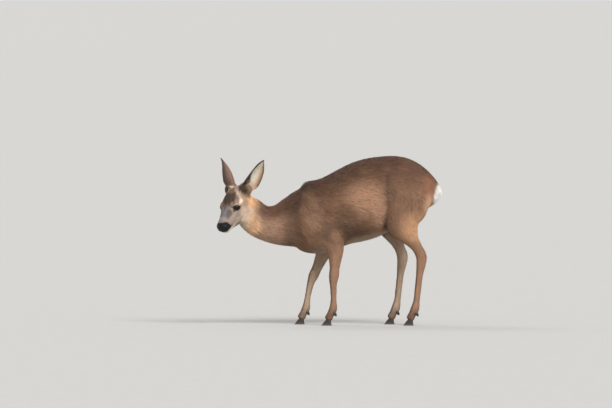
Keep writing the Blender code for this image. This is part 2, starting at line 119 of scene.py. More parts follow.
# The muscle behind the ear's root, in the ear's frame: along, towards the crown, opening, radius.
EAR_BASE = [
    (-0.014, 0.0100, -0.0050, 0.0120),
    (0.004, 0.0105, -0.0030, 0.0130),
    (0.022, 0.0120, 0.0010, 0.0085),
    (0.040, 0.0140, 0.0045, 0.0035),
]
# Foreleg, from the shoulder blade down: x, z, reach to the rear, reach to the front, half width,
# and how far its middle stands out from the leg's track.
FORELEG = [
    (-0.086, 0.541, 0.030, 0.024, 0.021, -0.032),
    (-0.086, 0.507, 0.050, 0.037, 0.028, -0.021),
    (-0.084, 0.458, 0.068, 0.052, 0.035, -0.008),
    (-0.073, 0.419, 0.082, 0.069, 0.037, -0.002),
    (-0.048, 0.388, 0.089, 0.078, 0.037, 0.002),
    (-0.012, 0.359, 0.070, 0.063, 0.034, 0.003),
    (0.012, 0.332, 0.049, 0.045, 0.029, 0.002),
    (0.021, 0.302, 0.037, 0.034, 0.026, 0.001),
    (0.022, 0.263, 0.026, 0.025, 0.0205, 0.000),
    (0.020, 0.222, 0.0195, 0.0195, 0.0170, 0.000),
    (0.017, 0.195, 0.0205, 0.0200, 0.0180, 0.000),
    (0.015, 0.174, 0.0160, 0.0155, 0.0155, 0.000),
    (0.016, 0.137, 0.0125, 0.0125, 0.0115, 0.000),
    (0.016, 0.093, 0.0125, 0.0125, 0.0115, 0.000),
    (0.013, 0.065, 0.0175, 0.0155, 0.0150, 0.000),
    (0.002, 0.042, 0.0150, 0.0140, 0.0150, 0.000),
    (-0.008, 0.021, 0.0180, 0.0180, 0.0175, 0.000),
]
# Hind leg, from the croup down, in the same columns.
HINDLEG = [
    (0.311, 0.605, 0.048, 0.048, 0.027, -0.029),
    (0.314, 0.556, 0.084, 0.084, 0.037, -0.018),
    (0.313, 0.507, 0.093, 0.094, 0.043, -0.009),
    (0.306, 0.468, 0.084, 0.091, 0.044, -0.004),
    (0.294, 0.436, 0.076, 0.080, 0.042, -0.001),
    (0.290, 0.409, 0.070, 0.072, 0.038, 0.001),
    (0.303, 0.380, 0.061, 0.060, 0.033, 0.002),
    (0.321, 0.352, 0.037, 0.039, 0.028, 0.001),
    (0.337, 0.326, 0.027, 0.0235, 0.022, 0.000),
    (0.355, 0.301, 0.0225, 0.0205, 0.0185, 0.000),
    (0.365, 0.275, 0.0250, 0.0200, 0.0175, 0.000),
    (0.365, 0.247, 0.0205, 0.0185, 0.0160, 0.000),
    (0.360, 0.209, 0.0150, 0.0145, 0.0130, 0.000),
    (0.353, 0.146, 0.0133, 0.0133, 0.0120, 0.000),
    (0.347, 0.096, 0.0133, 0.0133, 0.0125, 0.000),
    (0.340, 0.066, 0.0185, 0.0165, 0.0155, 0.000),
    (0.329, 0.043, 0.0155, 0.0145, 0.0155, 0.000),
    (0.319, 0.021, 0.0180, 0.0180, 0.0175, 0.000),
]
FORE_TRACK, HIND_TRACK = 0.063, 0.066  # half the distance between two legs
# How far forward of the left leg the right one stands, and between which heights it gets there.
FORE_STEP, HIND_STEP = (0.108, 0.484, 0.056), (0.075, 0.540, 0.270)

# %% [markdown]
# ## The head's frame
# The head hangs from the end of the neck: turned to the deer's left, dropped and rolled a little. Its
# features are easiest to place in the head's own axes: along to the nose, to the left, and up. The
# left eyeball of the solids tells how far the solids were shifted to centre their box.


# %% Place of the head
def turning(axis, angle):
    """The matrix that turns by an angle about an axis."""
    return np.array(Matrix.Rotation(angle, 3, Vector(axis)))


HEAD_AT = np.array([-0.351, -0.028, 0.525])
turn, drop, roll = np.radians([52, 47, 2.5])
nose_way = np.array([-math.cos(drop) * math.cos(turn), -math.cos(drop) * math.sin(turn), -math.sin(drop)])
left_way = turning(nose_way, roll) @ np.array([math.sin(turn), -math.cos(turn), 0.0])
HEAD_AXES = np.stack([nose_way, left_way, np.cross(nose_way, left_way)])

EYE_RADIUS, EYE_AT = 0.0130, np.array([0.0900, 0.0340, 0.0190])  # the left eyeball, in the head's frame
low, high = (np.array(corner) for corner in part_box("eye_left"))
SHIFT = (low + high) / 2 - (HEAD_AT + EYE_AT @ HEAD_AXES)
print("shift of the solids in mm:", np.round(SHIFT * 1000, 2))


def from_head(points):
    """Points of the head's frame, in the deer's frame."""
    return np.asarray(points) @ HEAD_AXES + HEAD_AT


def to_head(points):
    """Points of the deer's frame, in the head's frame."""
    return (points - HEAD_AT) @ HEAD_AXES.T


# %% [markdown]
# ## Camera, light and floor
# The deer is seen from its left through a very long lens, from far away and a little above. A long
# lens flattens depth, so the lens follows from the distance and from how much of the scene's width
# the view takes in. The light is one wide soft sun from over the camera's right shoulder, a weaker one
# from behind, and a pale sky.

# %% Camera
def add_object(name, data):
    """A new object in the scene."""
    made = bpy.data.objects.new(name, data)
    bpy.context.scene.collection.objects.link(made)
    return made


VIEW_WIDTH = 2.448  # how much of the scene the view takes in, at the deer
SENSOR = 36  # in millimetres
look_at = np.array([-0.094, 0.0, 0.484]) + SHIFT
stand = look_at + (0.0, -34.4, 0.816)
camera_data = bpy.data.cameras.new("camera")
camera_data.sensor_width = SENSOR
camera_data.lens = SENSOR * np.linalg.norm(stand - look_at) / VIEW_WIDTH
camera_data.clip_end = 20000
camera = add_object("camera", camera_data)
camera.location = stand
camera.rotation_euler = Vector(look_at - stand).to_track_quat("-Z", "Y").to_euler()
bpy.context.scene.camera = camera
print("lens in mm:", round(camera_data.lens, 1))


# %% Lights
def soft_sun(name, toward, strength, spread):
    """A far lamp shining along a direction, whose wide disc softens its shadows."""
    data = bpy.data.lights.new(name, "SUN")
    data.energy = strength
    data.angle = math.radians(spread)
    add_object(name, data).rotation_euler = Vector(toward).to_track_quat("-Z", "Y").to_euler()


soft_sun("key", (-0.34, 0.66, -0.67), 3.4, 28)
soft_sun("rim", (0.55, -0.50, -0.62), 0.8, 30)
world = bpy.data.worlds.new("pale_sky")
world.use_nodes = True
world.node_tree.nodes["Background"].inputs["Color"].default_value = (0.96, 0.98, 1.0, 1.0)
world.node_tree.nodes["Background"].inputs["Strength"].default_value = 0.72
bpy.context.scene.world = world
bpy.context.scene.view_settings.view_transform = "Standard"

# %% [markdown]
# ## Small tools
# Colours are written as sRGB hex values and turned to linear light in one place. One function adds a
# node with its settings, and sets or links its inputs.


# %% Colour and node helpers
def linear(code):
    """An sRGB hex colour as linear red, green and blue."""
    value = np.array([int(code[i : i + 2], 16) for i in (1, 3, 5)]) / 255
    return np.where(value <= 0.04045, value / 12.92, ((value + 0.055) / 1.055) ** 2.4)


def opaque(code):
    """A hex colour as a colour socket takes it: linear, with a fourth value of 1."""
    return (*linear(code), 1)


def add_node(tree, kind, inputs=None, **settings):
    """A new node. Each input is given a value, or is linked where the value is a socket."""
    node = tree.nodes.new(kind)
    for name, value in settings.items():
        setattr(node, name, value)
    for name, value in (inputs or {}).items():
        if isinstance(value, bpy.types.NodeSocket):
            tree.links.new(value, node.inputs[name])
        else:
            node.inputs[name].default_value = value
    return node


def new_material(name):
    """An empty node material, and its tree with the output node."""
    made = bpy.data.materials.new(name)
    made.use_nodes = True
    made.node_tree.nodes.clear()
    return made, made.node_tree, made.node_tree.nodes.new("ShaderNodeOutputMaterial")


# %% Floor of pale matt plaster
# Plaster is dull and even, so it shows the deer's soft shadow and no reflection.
plaster, tree, output = new_material("matt_plaster")
place = add_node(tree, "ShaderNodeTexCoord")
# Trowel marks a few centimetres across, which barely show.
marks = add_node(tree, "ShaderNodeTexNoise", {"Vector": place.outputs["Object"], "Scale": 18.0, "Detail": 3.0})
greys = {0: marks.outputs["Fac"], 6: opaque("#a8a6a2"), 7: opaque("#b0aeaa")}
tone = add_node(tree, "ShaderNodeMix", greys, data_type="RGBA")
shader = add_node(tree, "ShaderNodeBsdfPrincipled", {"Base Color": tone.outputs[2], "Roughness": 0.9})
tree.links.new(shader.outputs[0], output.inputs["Surface"])

FLOOR_REACH = 8000.0  # so wide that its edge lies on the horizon
corners = [(FLOOR_REACH * x, FLOOR_REACH * y, 0) for x, y in ((-1, -1), (1, -1), (1, 1), (-1, 1))]
floor_mesh = bpy.data.meshes.new("floor")
floor_mesh.from_pydata(corners, [], [(0, 1, 2, 3)])
floor_mesh.materials.append(plaster)
floor = add_object("floor", floor_mesh)
print("floor done")

# %% [markdown]
# ## One skin
# Lofts overlap where a leg meets the trunk or the neck meets the head. A voxel remesh makes one
# surface of them, and smoothing the heavy parts gives the soft passages that flesh has. A second,
# finer remesh gives the head enough points for its lids and lips.


# %% Lofts
def unit(vectors):
    """The same directions at length 1."""
    return vectors / np.maximum(np.linalg.norm(vectors, axis=-1, keepdims=True), 1e-12)


def step(low, high, value):
    """A smooth step: 0 up to low, 1 from high, and a cubic between them."""
    share = np.clip((value - low) / (high - low), 0, 1)
    return share * share * (3 - 2 * share)


def finer(rows, count):
    """The rows read at count places, by a cubic through them. The places crowd towards both ends."""
    rows = np.array(rows, float)
    place = np.concatenate([[0.0], np.cumsum(np.linalg.norm(np.diff(rows[:, :3], axis=0), axis=1))])
    slope = np.gradient(rows, place, axis=0)
    at = place[-1] * (1 - np.cos(np.pi * np.arange(count) / (count - 1))) / 2
    i = np.clip(np.searchsorted(place, at, side="right") - 1, 0, len(rows) - 2)
    span = (place[i + 1] - place[i])[:, None]
    t = (at - place[i])[:, None] / span
    start = (2 * t**3 - 3 * t**2 + 1) * rows[i] + (t**3 - 2 * t**2 + t) * span * slope[i]
    end = (t**3 - t**2) * span * slope[i + 1] + (3 * t**2 - 2 * t**3) * rows[i + 1]
    return start + end, at, place[-1]


def rings_of(rows, count, upright=False):
    """Each ring's centre, its axes (along, across, up) and its reaches (up, down, aside, egg)."""
    curve, at, length = finer(rows, count)
    along = unit(np.gradient(curve[:, :3], at, axis=0))
    across = unit(np.array((0.0, 1.0, 0.0)) - along * along[:, 1:2])
    up = np.cross(along, across)
    if upright:
        across, up = 0 * across + (0, 1, 0), 0 * up + (0, 0, 1)
    return curve[:, :3], along, across, up, curve[:, 3:], at, length


def ring_faces(rings, around):
    """Faces between rings of points, closed by fans to one first and one last point."""
    i, j = np.meshgrid(np.arange(rings - 1), np.arange(around), indexing="ij")
    k = (j + 1) % around
    quads = np.stack([i * around + j, i * around + k, (i + 1) * around + k, (i + 1) * around + j], -1)
    j, k = j[0], k[0]
    first, last, end = np.full(around, rings * around), np.full(around, rings * around + 1), (rings - 1) * around
    fans = np.vstack([np.stack([first, k, j], -1), np.stack([last, end + j, end + k], -1)])
    return quads.reshape(-1, 4).tolist() + fans.tolist()


def loft(rows, rounding, rings=48, around=40, upright=False):
    """A closed loft: each ring is half an ellipse upwards and half an ellipse downwards, and the ends
    are rounded like a quarter circle over the two lengths in rounding."""
    centre, _, across, up, radii, at, length = rings_of(rows, rings, upright)
    from_ends = np.minimum(at / rounding[0], (length - at) / rounding[1]).clip(0, 1)
    blunt = np.sqrt(1 - (1 - from_ends) ** 2)[1:-1, None]
    angle = 2 * np.pi * np.arange(around) / around
    rise, spread = np.cos(angle), np.sin(angle)
    one, other, half, egg = (radii[1:-1, k, None] for k in range(4))
    height = blunt * np.where(rise > 0, one, other) * rise
    width = blunt * half * spread * (1 - egg * rise)
    rim = centre[1:-1, None] + height[..., None] * up[1:-1, None] + width[..., None] * across[1:-1, None]
    return np.vstack([rim.reshape(-1, 3), centre[0], centre[-1]]), ring_faces(rings - 2, around)


def ball(at, radii, rings=20, around=28):
    """An ellipsoid, as a loft along X."""
    rows = [(at[0] + radii[0] * s, at[1], at[2], radii[2], radii[2], radii[1], 0.0) for s in (-1, 0, 1)]
    return loft(rows, (radii[0], radii[0]), rings, around)


def leg_rows(rows, track, way, step_by=(0.0, 1.0, 0.0)):
    """The rings of a leg on its side. A leg that steps is moved forward by a smooth step in z."""
    step_length, start, end = step_by
    x, z, rear, front, half, out = np.array(rows).T
    x = x - step_length * step(0, 1, (start - z) / (start - end))
    return np.stack([x, way * (track + out), z, rear, front, half, 0 * x], -1)


LEGS = {
    "foreleg_left": leg_rows(FORELEG, FORE_TRACK, -1),
    "foreleg_right": leg_rows(FORELEG, FORE_TRACK, 1, FORE_STEP),
    "hindleg_left": leg_rows(HINDLEG, HIND_TRACK, -1),
    "hindleg_right": leg_rows(HINDLEG, HIND_TRACK, 1, HIND_STEP),
}
trunk_rows = [(x, 0, (top + low) / 2, *[(top - low) / 2] * 2, half, egg) for x, top, low, half, egg in TRUNK]
head_rows = [(s, 0.0, 0.0, up, down, half, egg) for s, up, down, half, egg in HEAD]
print("legs:", list(LEGS))


# %% Meshes from arrays and back
def mesh_object(name, points, faces):
    """A smooth shaded object."""
    mesh = bpy.data.meshes.new(name)
    mesh.from_pydata(points.tolist(), [], faces)
    mesh.shade_smooth()
    return add_object(name, mesh)


def read(collection, name, width, kind=np.float64):
    """One property of all items of a mesh, as an array of rows."""
    values = np.empty(len(collection) * width, kind)
    collection.foreach_get(name, values)
    return values.reshape(-1, width) if width > 1 else values


def joined(shapes):
    """Several shapes as one, still overlapping."""
    starts = np.cumsum([0] + [len(points) for points, _ in shapes])
    faces = [[i + start for i in face] for (_, some), start in zip(shapes, starts) for face in some]
    return np.vstack([points for points, _ in shapes]), faces


def applied(obj, kind, **settings):
    """Runs one modifier and keeps what it makes as the object's mesh."""
    tool = obj.modifiers.new(kind.lower(), kind)
    for name, value in settings.items():
        setattr(tool, name, value)
    bpy.context.view_layer.update()
    made = bpy.data.meshes.new_from_object(obj.evaluated_get(bpy.context.evaluated_depsgraph_get()))
    obj.modifiers.clear()
    old, obj.data = obj.data, made
    bpy.data.meshes.remove(old)
    return made


def smoothed(mesh, points, weight, rounds):
    """Each point moves towards the mean of its neighbours, by its weight in each round."""
    a, b = read(mesh.edges, "vertices", 2, np.int32).T
    size = len(points)
    count = np.bincount(a, minlength=size) + np.bincount(b, minlength=size)
    for _ in range(rounds):
        total = [np.bincount(a, values[b], size) + np.bincount(b, values[a], size) for values in points.T]
        points = points + weight[:, None] * (np.stack(total, -1) / count[:, None] - points)
    return points


# %% Fuse the flesh
def ear_frame(way):
    """Origin and axes (to its tip, across, to its opening) of an ear in the deer's frame. Way 1 is
    the left ear."""
    tip = unit(np.array({1: (-0.65, 0.62, 0.43), -1: (-0.64, -0.52, 0.56)}[way]))
    opening = np.array({1: (0.62, 0.77, -0.18), -1: (0.58, -0.81, -0.09)}[way])
    opening = unit(opening - tip * (opening @ tip))
    axes = np.stack([tip, np.cross(opening, tip), opening])
    return from_head((-0.009, way * 0.024, 0.0235)), axes @ HEAD_AXES


def placed(shape, origin, axes):
    """A shape of another frame, in the deer's frame."""
    points, faces = shape
    return points @ axes + origin, faces


shapes = [
    loft(trunk_rows, (0.02, 0.022), 72, 56, upright=True),
    loft(NECK, (0.03, 0.03)),
    ball((0.424, 0.0, 0.555), (0.014, 0.011, 0.022)),  # tail
]
shapes += [loft(rows, (0.03, 0.01), 64, 28) for rows in LEGS.values()]
shapes.append(placed(loft(head_rows, (0.014, 0.012)), HEAD_AT, HEAD_AXES))
for way in (-1, 1):
    brow = ball(EYE_AT * (1, way, 1) + (-0.006, -way * 0.005, 0.003), (0.027, 0.014, 0.020))
    button = ball((0.014, way * 0.0175, 0.052), (0.010, 0.009, 0.013))
    ear_root = ball((0.0, way * 0.004, 0.0170), (0.030, 0.028, 0.026))
    behind = loft([(x, way * y, z, thick, thick, thick, 0.0) for x, y, z, thick in EAR_BASE], (0.012, 0.003), 24, 24)
    shapes += [placed(shape, HEAD_AT, HEAD_AXES) for shape in (brow, button)]
    shapes += [placed(shape, *ear_frame(way)) for shape in (ear_root, behind)]
COARSE, FINE = 0.0042, 0.0014  # sizes of the remeshes' cells
skin = mesh_object("skin", *joined(shapes))
mesh = applied(skin, "REMESH", mode="VOXEL", voxel_size=COARSE)
points = read(mesh.vertices, "co", 3)
# Trunk, neck and upper legs are smoothed well; the shins and the face nearly keep their shape.
heavy = np.minimum(np.clip((points[:, 2] - 0.27) / 0.10, 0.05, 1), np.clip((points[:, 0] + 0.36) / 0.07, 0.12, 1))
points = smoothed(mesh, points, 0.25 * heavy, 36)
mesh.vertices.foreach_set("co", points.ravel())
print("fused:", len(points), "points")
applied(skin, "SUBSURF", levels=1, render_levels=1)
mesh = applied(skin, "REMESH", mode="VOXEL", voxel_size=FINE)
print("fine:", len(mesh.vertices), "points")

# %% [markdown]
# ## Lids, nostrils and lips
# A deer's eye is a ball in a socket, and two lids close over it to an almond. Here every point of the
# skin near an eyeball is described by its direction from the ball's centre. Inside the almond the
# skin sinks behind the ball. Around it a rim of lid stands just clear of the ball, and further out it
# runs into the face. Nostrils, mouth and tear groove are furrows along short lines.

# %% Almond of the lids
EYE_OUT = np.array([0.42, 0.88, 0.20])  # where the left eye looks, in the head's frame
EYE_HALF, LID_UP, LID_DOWN = np.radians([66, 39, 35])  # the almond, as angles from that line
LID = 0.0014  # thickness of a lid
# How far from the eyeball's centre, and how far round from the eye's axis, skin belongs to the lids.
LID_REACH, LID_TURN = 0.030, np.radians(100)


def direction(polar, round_it):
    """The way that leans by polar from the third axis, turned by round_it about that axis."""
    return np.stack([np.sin(polar) * np.cos(round_it), np.sin(polar) * np.sin(round_it), np.cos(polar)], -1)


def eye_axes(way):
    """Axes of an eye in the head's frame: towards the nose, up, and out."""
    out = unit(EYE_OUT * (1, way, 1))
    front = np.array([1.0, 0.0, 0.80])
    front = unit(front - out * (front @ out))
    up = np.cross(front, out) * -way
    return np.stack([front, up, out])


def almond(round_it):
    """Angle from the eye's own axis to the edge of the almond, in each direction round it."""
    tall = np.where(np.sin(round_it) > 0, LID_UP, LID_DOWN)
    return (np.abs(np.cos(round_it) / EYE_HALF) ** 1.7 + np.abs(np.sin(round_it) / tall) ** 1.7) ** (-1 / 1.7)


def lid_place(points, way):
    """Distance from the eyeball's centre, direction, and the angle of the almond's edge there."""
    away = points - EYE_AT * (1, way, 1)
    front, up, out = (away @ eye_axes(way).T).T
    reach = np.linalg.norm(away, axis=1)
    polar, round_it = np.arctan2(np.hypot(front, up), out), np.arctan2(up, front)
    return reach, polar, round_it, almond(round_it)


def open_lids(points, way):
    """Moves skin behind the eyeball within the almond, and just over it around the almond."""
    reach, polar, round_it, edge = lid_place(points, way)
    beyond = polar - edge
    near = (reach < LID_REACH + 0.002) & (polar < LID_TURN)
    snap = np.radians(5.2)  # points as close as this to the almond's edge are drawn to it
    within, outside = (beyond < 0) & (beyond > -snap), (beyond > 0) & (beyond < snap)
    beyond = np.where(outside, 0.15 * snap, np.where(within, -0.3 * snap, beyond))
    lid = EYE_RADIUS + LID * (1 - 0.35 * step(0, np.radians(9), beyond))
    over = lid + (np.maximum(reach, 0.8 * lid) - lid) * step(np.radians(7), np.radians(32), beyond)
    wanted = np.where(beyond < 0, EYE_RADIUS - 0.0022, over)
    moved = EYE_AT * (1, way, 1) + wanted[:, None] * (direction(edge + beyond, round_it) @ eye_axes(way))
    return np.where(near[:, None], moved, points)


# %% Moist rims of the lids
RIM_OUT, RIM_RADIUS = 0.0005, 0.0011  # how far a rim's middle stands off the ball, and its radius


def lid_rim(way, around=120, ring=12):
    """A closed roll of bare skin along the almond's edge, where the lid meets the wet eye: its middle
    line runs a little outside the edge, and each cross-section is a circle."""
    i, j = np.meshgrid(np.arange(around), np.arange(ring), indexing="ij")
    round_it, angle = 2 * np.pi * i / around, (2 * np.pi * j / ring)[..., None]
    polar = almond(round_it) + np.radians(3.0)
    outward, across = direction(polar, round_it), direction(polar + np.pi / 2, round_it)
    core = outward * (EYE_RADIUS + RIM_OUT)
    roll = core + RIM_RADIUS * (np.cos(angle) * outward + np.sin(angle) * across)
    points, middle = (EYE_AT * (1, way, 1) + local.reshape(-1, 3) @ eye_axes(way) for local in (roll, core))
    ahead, beside = (i + 1) % around, (j + 1) % ring
    faces = np.stack([i * ring + j, ahead * ring + j, ahead * ring + beside, i * ring + beside], -1).reshape(-1, 4)
    a, b, c = (points[faces[:, k]] for k in range(3))
    if (np.cross(b - a, c - a) * (a - middle[faces[:, 0]])).sum() < 0:
        faces = faces[:, ::-1]
    return from_head(points), faces.tolist()


# %% Furrows of the face
def line_distance(points, line):
    """Distance to the nearest place on the straight stretches between the points of a line."""
    found = []
    for start, end in zip(np.array(line), np.array(line)[1:]):
        share = np.clip((points - start) @ (end - start) / ((end - start) @ (end - start)), 0, 1)
        found.append(np.linalg.norm(points - start - share[:, None] * (end - start), axis=1))
    return np.min(found, axis=0)


MOUTH = [(0.1980, 0.0000, -0.0110), (0.1900, 0.0150, -0.0125), (0.1700, 0.0250, -0.0150), (0.1500, 0.0290, -0.0190)]
TEAR = [(0.1030, 0.0325, 0.0290), (0.1130, 0.0330, 0.0185)]
# Furrows and swellings on both sides of the head: ends, radius, height.
FURROWS = [
    ([(0.1950, 0.0070, -0.0010), (0.1890, 0.0160, 0.0040)], 0.0034, -0.0060),  # nostril
    ([(0.1890, 0.0165, 0.0045), (0.1815, 0.0205, 0.0105)], 0.0018, -0.0026),  # its tail
    ([(0.1830, 0.0130, 0.0100), (0.1800, 0.0170, 0.0120)], 0.0060, 0.0012),  # wing of the nose
    ([(0.1990, 0.0000, -0.0060), (0.1960, 0.0000, 0.0040)], 0.0012, -0.0010),  # groove of the nose
    (MOUTH[:2], 0.0017, -0.0020),
    (MOUTH[1:3], 0.0017, -0.0020),
    (MOUTH[2:], 0.0016, -0.0016),
    (TEAR, 0.0020, -0.0016),
    ([(0.0660, 0.0430, 0.0300), (0.0860, 0.0390, 0.0360)], 0.0070, 0.0014),  # brow
    ([(0.1150, 0.0370, -0.0140), (0.1350, 0.0300, -0.0160)], 0.0120, -0.0020),  # hollow of the cheek
    ([(0.0600, 0.0480, -0.0300), (0.0500, 0.0460, -0.0480)], 0.0200, 0.0016),  # jaw muscle
    ([(0.0900, 0.0440, 0.0020), (0.0700, 0.0460, 0.0040)], 0.0060, 0.0012),  # cheek bone
]
print("furrows and swellings:", len(FURROWS))


# %% Depth of the coat
def normals_of(points, triangles):
    """Unit normals at points: the mean of the triangles around each, by area."""
    a, b, c = (points[triangles[:, k]] for k in range(3))
    face = np.cross(b - a, c - a)
    total = [sum(np.bincount(corner, values, len(points)) for corner in triangles.T) for values in face.T]
    return unit(np.stack(total, -1))


def triangles_of(mesh):
    """The mesh's triangles as rows of point numbers."""
    mesh.calc_loop_triangles()
    return read(mesh.loop_triangles, "vertices", 3, np.int32)


def headness(points):
    """1 on the head, 0 on the neck, smooth between them."""
    return step(-0.02, 0.03, (points[:, [0, 2]] - (-0.371, 0.300)) @ (-0.922, 0.387))


def both_sides(points):
    """The points with y made positive, so that one mark serves both sides."""
    return points * (1, 0, 1) + np.abs(points) * (0, 1, 0)


def nose_share(head):
    """1 on the bare wet skin of the nose, which reaches lower and further back beside the nostrils."""
    along, aside, up = both_sides(head).T
    back = 0.1835 - 0.0040 * step(0.006, 0.018, aside) + 0.0035 * step(0.010, 0.016, up)
    return step(-0.0008, 0.0008, along - back) * step(-0.0105, -0.0085, up)


def black_share(head):
    """1 where the muzzle is black: the nose and the short hair beside it, back to the corner of the
    lips."""
    along, aside, up = both_sides(head).T
    back = 0.1785 - 0.0145 * step(0.004, 0.028, aside)
    return step(-0.0012, 0.0012, along - back) * step(-0.0135, -0.0105, up + 0.4 * (along - 0.18).clip(0))


def coat_depth(points):
    """How far the coat stands over the skin: deep on trunk and neck, thin on head and shins, none on
    the bare nose."""
    head = to_head(points)
    face = 0.0011 + 0.0004 * step(0.17, 0.13, head[:, 0]) + 0.0027 * step(0.085, 0.0, head[:, 0])
    from_eye = np.linalg.norm(both_sides(head) - EYE_AT, axis=1)
    face = face * (1 - nose_share(head)) * (1 - 0.6 * step(0.022, 0.015, from_eye))
    body = 0.0013 + 0.0017 * step(0.20, 0.28, points[:, 2]) + 0.0032 * step(0.28, 0.40, points[:, 2])
    share = headness(points)
    return share * face + (1 - share) * body


# %% Ends of the legs
CORONET, SLOPE = 0.026, math.tan(math.radians(16))  # height of the coronet, and its fall to the rear
# Side, place along X and track of each foot.
FEET = {
    "fore_left": (-1, -0.012, FORE_TRACK),
    "fore_right": (1, -0.012 - FORE_STEP[0], FORE_TRACK),
    "hind_left": (-1, 0.315, HIND_TRACK),
    "hind_right": (1, 0.315 - HIND_STEP[0], HIND_TRACK),
}


def under_coronet(points, foot):
    """How far each point lies below a foot's coronet, and whether it belongs to that foot."""
    way, x, track = FEET[foot]
    near = (np.abs(points[:, 0] - x) < 0.06) & (np.abs(points[:, 1] - way * track) < 0.04) & (points[:, 2] < 0.06)
    return CORONET - SLOPE * (points[:, 0] - x - 0.0005) - points[:, 2], near


def tuck_feet(points):
    """Narrows the end of each leg below its coronet, so that it hides between the claws."""
    made = points.copy()
    for foot, (way, x, track) in FEET.items():
        below, near = under_coronet(points, foot)
        shrink = np.where(near, 0.42 * step(0.0, 0.005, below), 0)[:, None]
        made += shrink * (np.array([x, way * track, 0.030]) - points)
    return made


# %% Shape the face and the feet
points, triangles = read(mesh.vertices, "co", 3), triangles_of(mesh)
points = points - coat_depth(points)[:, None] * normals_of(points, triangles)
points = tuck_feet(points)
normals = normals_of(points, triangles) @ HEAD_AXES.T
head = to_head(points)
face = np.nonzero((headness(points) > 0.2) & (head[:, 0] > 0.02))[0]
shaped, outward = head[face], normals[face]
for line, radius, height in FURROWS:
    in_the_middle = not np.any(np.array(line)[:, 1])
    for way in (1,) if in_the_middle else (1, -1):
        distance = line_distance(head[face], np.array(line) * (1, way, 1))
        shaped = shaped + outward * (height * np.exp(-((distance / radius) ** 2)))[:, None]
# The lower lip ends a little behind the upper one.
chin = step(0.180, 0.196, shaped[:, 0]) * step(-0.0115, -0.0150, shaped[:, 2])
shaped[:, 0] -= 0.005 * chin
for way in (1, -1):
    shaped = open_lids(shaped, way)
points[face] = from_head(shaped)
mesh.vertices.foreach_set("co", points.ravel())
mesh.update()
SKIN_TRIANGLES = 150000
mesh = applied(skin, "DECIMATE", ratio=min(1.0, SKIN_TRIANGLES / len(triangles)))
print("skin:", len(mesh.vertices), "points,", len(mesh.polygons), "triangles")

# %% [markdown]
# ## Ears
# A roe's ear is a leaf of gristle, bent into a deep cup that narrows to a funnel at its root. Across it
# the sheet follows a circle, and its width follows a falling sine along it. Each cross-section is a
# thin lens, so the rim is fine and closed.

# %% Ear shells
EAR_LENGTH, EAR_WALL, EAR_SPAN = 0.141, 0.0022, 0.97  # the span is the share of t that the sheet uses
ALONG, AROUND = 90, 72  # rings of an ear, and points of a ring


def ear_place(way, s, t):
    """A point of the ear's middle sheet, s along it and t across from -1 to 1, in the deer's frame."""
    s = np.maximum(s, 0)
    half = 0.0500 * np.sin(np.pi * (0.38 + 0.62 * s) ** 1.05).clip(0) ** 0.92
    half = np.maximum(half * (0.80 + 0.20 * step(0, 0.30, s)), 0.0012)
    opened = step(-0.05, 0.24, s)
    radius = (0.0355 - 0.005 * np.minimum(s / 0.5, 1) ** 0.8) * (0.50 + 0.50 * opened)
    curl = t * half / radius
    toward = -0.010 * np.sin(np.pi * s) + radius * (1 - np.cos(curl))
    aside = radius * np.sin(curl) - 0.005 * np.sin(np.pi * s**1.5) + 0.006 * (1 - opened)
    origin, axes = ear_frame(way)
    return np.stack([EAR_LENGTH * s, way * aside, toward], -1) @ axes + origin


def ear_shell(way):
    """Points, faces, and for each point its s, t, side (1 where the ear opens, -1 on its back) and the
    way to the tip."""
    angle = 2 * np.pi * np.arange(AROUND) / AROUND
    s, angle = np.meshgrid(np.linspace(0.0, 0.985, ALONG), angle, indexing="ij")
    t, side = -np.cos(angle) * EAR_SPAN, np.sin(angle)
    small = 1e-4  # step over which the sheet's slope is measured
    one = ear_place(way, s + small, t) - ear_place(way, s - small, t)
    other = ear_place(way, s, t + small) - ear_place(way, s, t - small)
    normal = unit(np.cross(other, one) * way)
    _, axes = ear_frame(way)
    normal *= np.sign((normal * axes[2]).sum(-1)[ALONG // 3, AROUND // 4])
    wall = EAR_WALL / 2 * np.sign(side) * np.abs(side) ** 0.6
    shell = ear_place(way, s, t) + wall[..., None] * normal
    ends = ear_place(way, np.array([0.0, 0.99]), np.zeros(2))
    flow = unit(one)
    flow = np.vstack([flow.reshape(-1, 3), flow[0, 0], flow[-1, 0]])
    s, t, side = (np.append(values, last) for values, last in ((s, (0, 1)), (t, (0, 0)), (side, (0, 0))))
    return np.vstack([shell.reshape(-1, 3), ends]), ring_faces(ALONG, AROUND), s, t, side, flow


# %% Join body, lids and ears
ears = [ear_shell(way) for way in (1, -1)]
# Which way across each ear leads to the middle of the head.
toward_middle = []
for (shell, _, _, t, *_), way in zip(ears, (1, -1)):
    outward_by = to_head(shell)[:, 1] * way
    toward_middle.append(-np.sign(((outward_by - outward_by.mean()) * t).sum()))
body = read(mesh.vertices, "co", 3)
shapes = [(body, triangles_of(mesh).tolist())] + [lid_rim(way) for way in (1, -1)]
rim_start, ear_start = len(body), sum(len(points) for points, _ in shapes)
for (points, faces, *_), way in zip(ears, (1, -1)):
    a, b, c = (points[[face[k] for face in faces]] for k in range(3))
    away = (a + b + c) / 3 - ear_place(way, np.array([0.5]), np.zeros(1))
    inside_out = (np.cross(b - a, c - a) * away).sum() < 0
    shapes.append((points, [face[::-1] for face in faces] if inside_out else faces))
whole_points, whole_faces = joined(shapes)
bpy.data.objects.remove(skin)
skin = mesh_object("skin", whole_points + SHIFT, whole_faces)
bpy.context.view_layer.update()
print("skin with ears:", len(whole_points), "points")

# %% [markdown]
# ## Eyes
# A roe deer's eye is nearly all dark: a deep brown iris with a pupil that lies level, behind a
# wet cornea. The ball is a sphere whose front swells a little where the cornea is. Colour comes from
# the distance to the eye's own axis, so the pattern is centred and turned by a Mapping node.


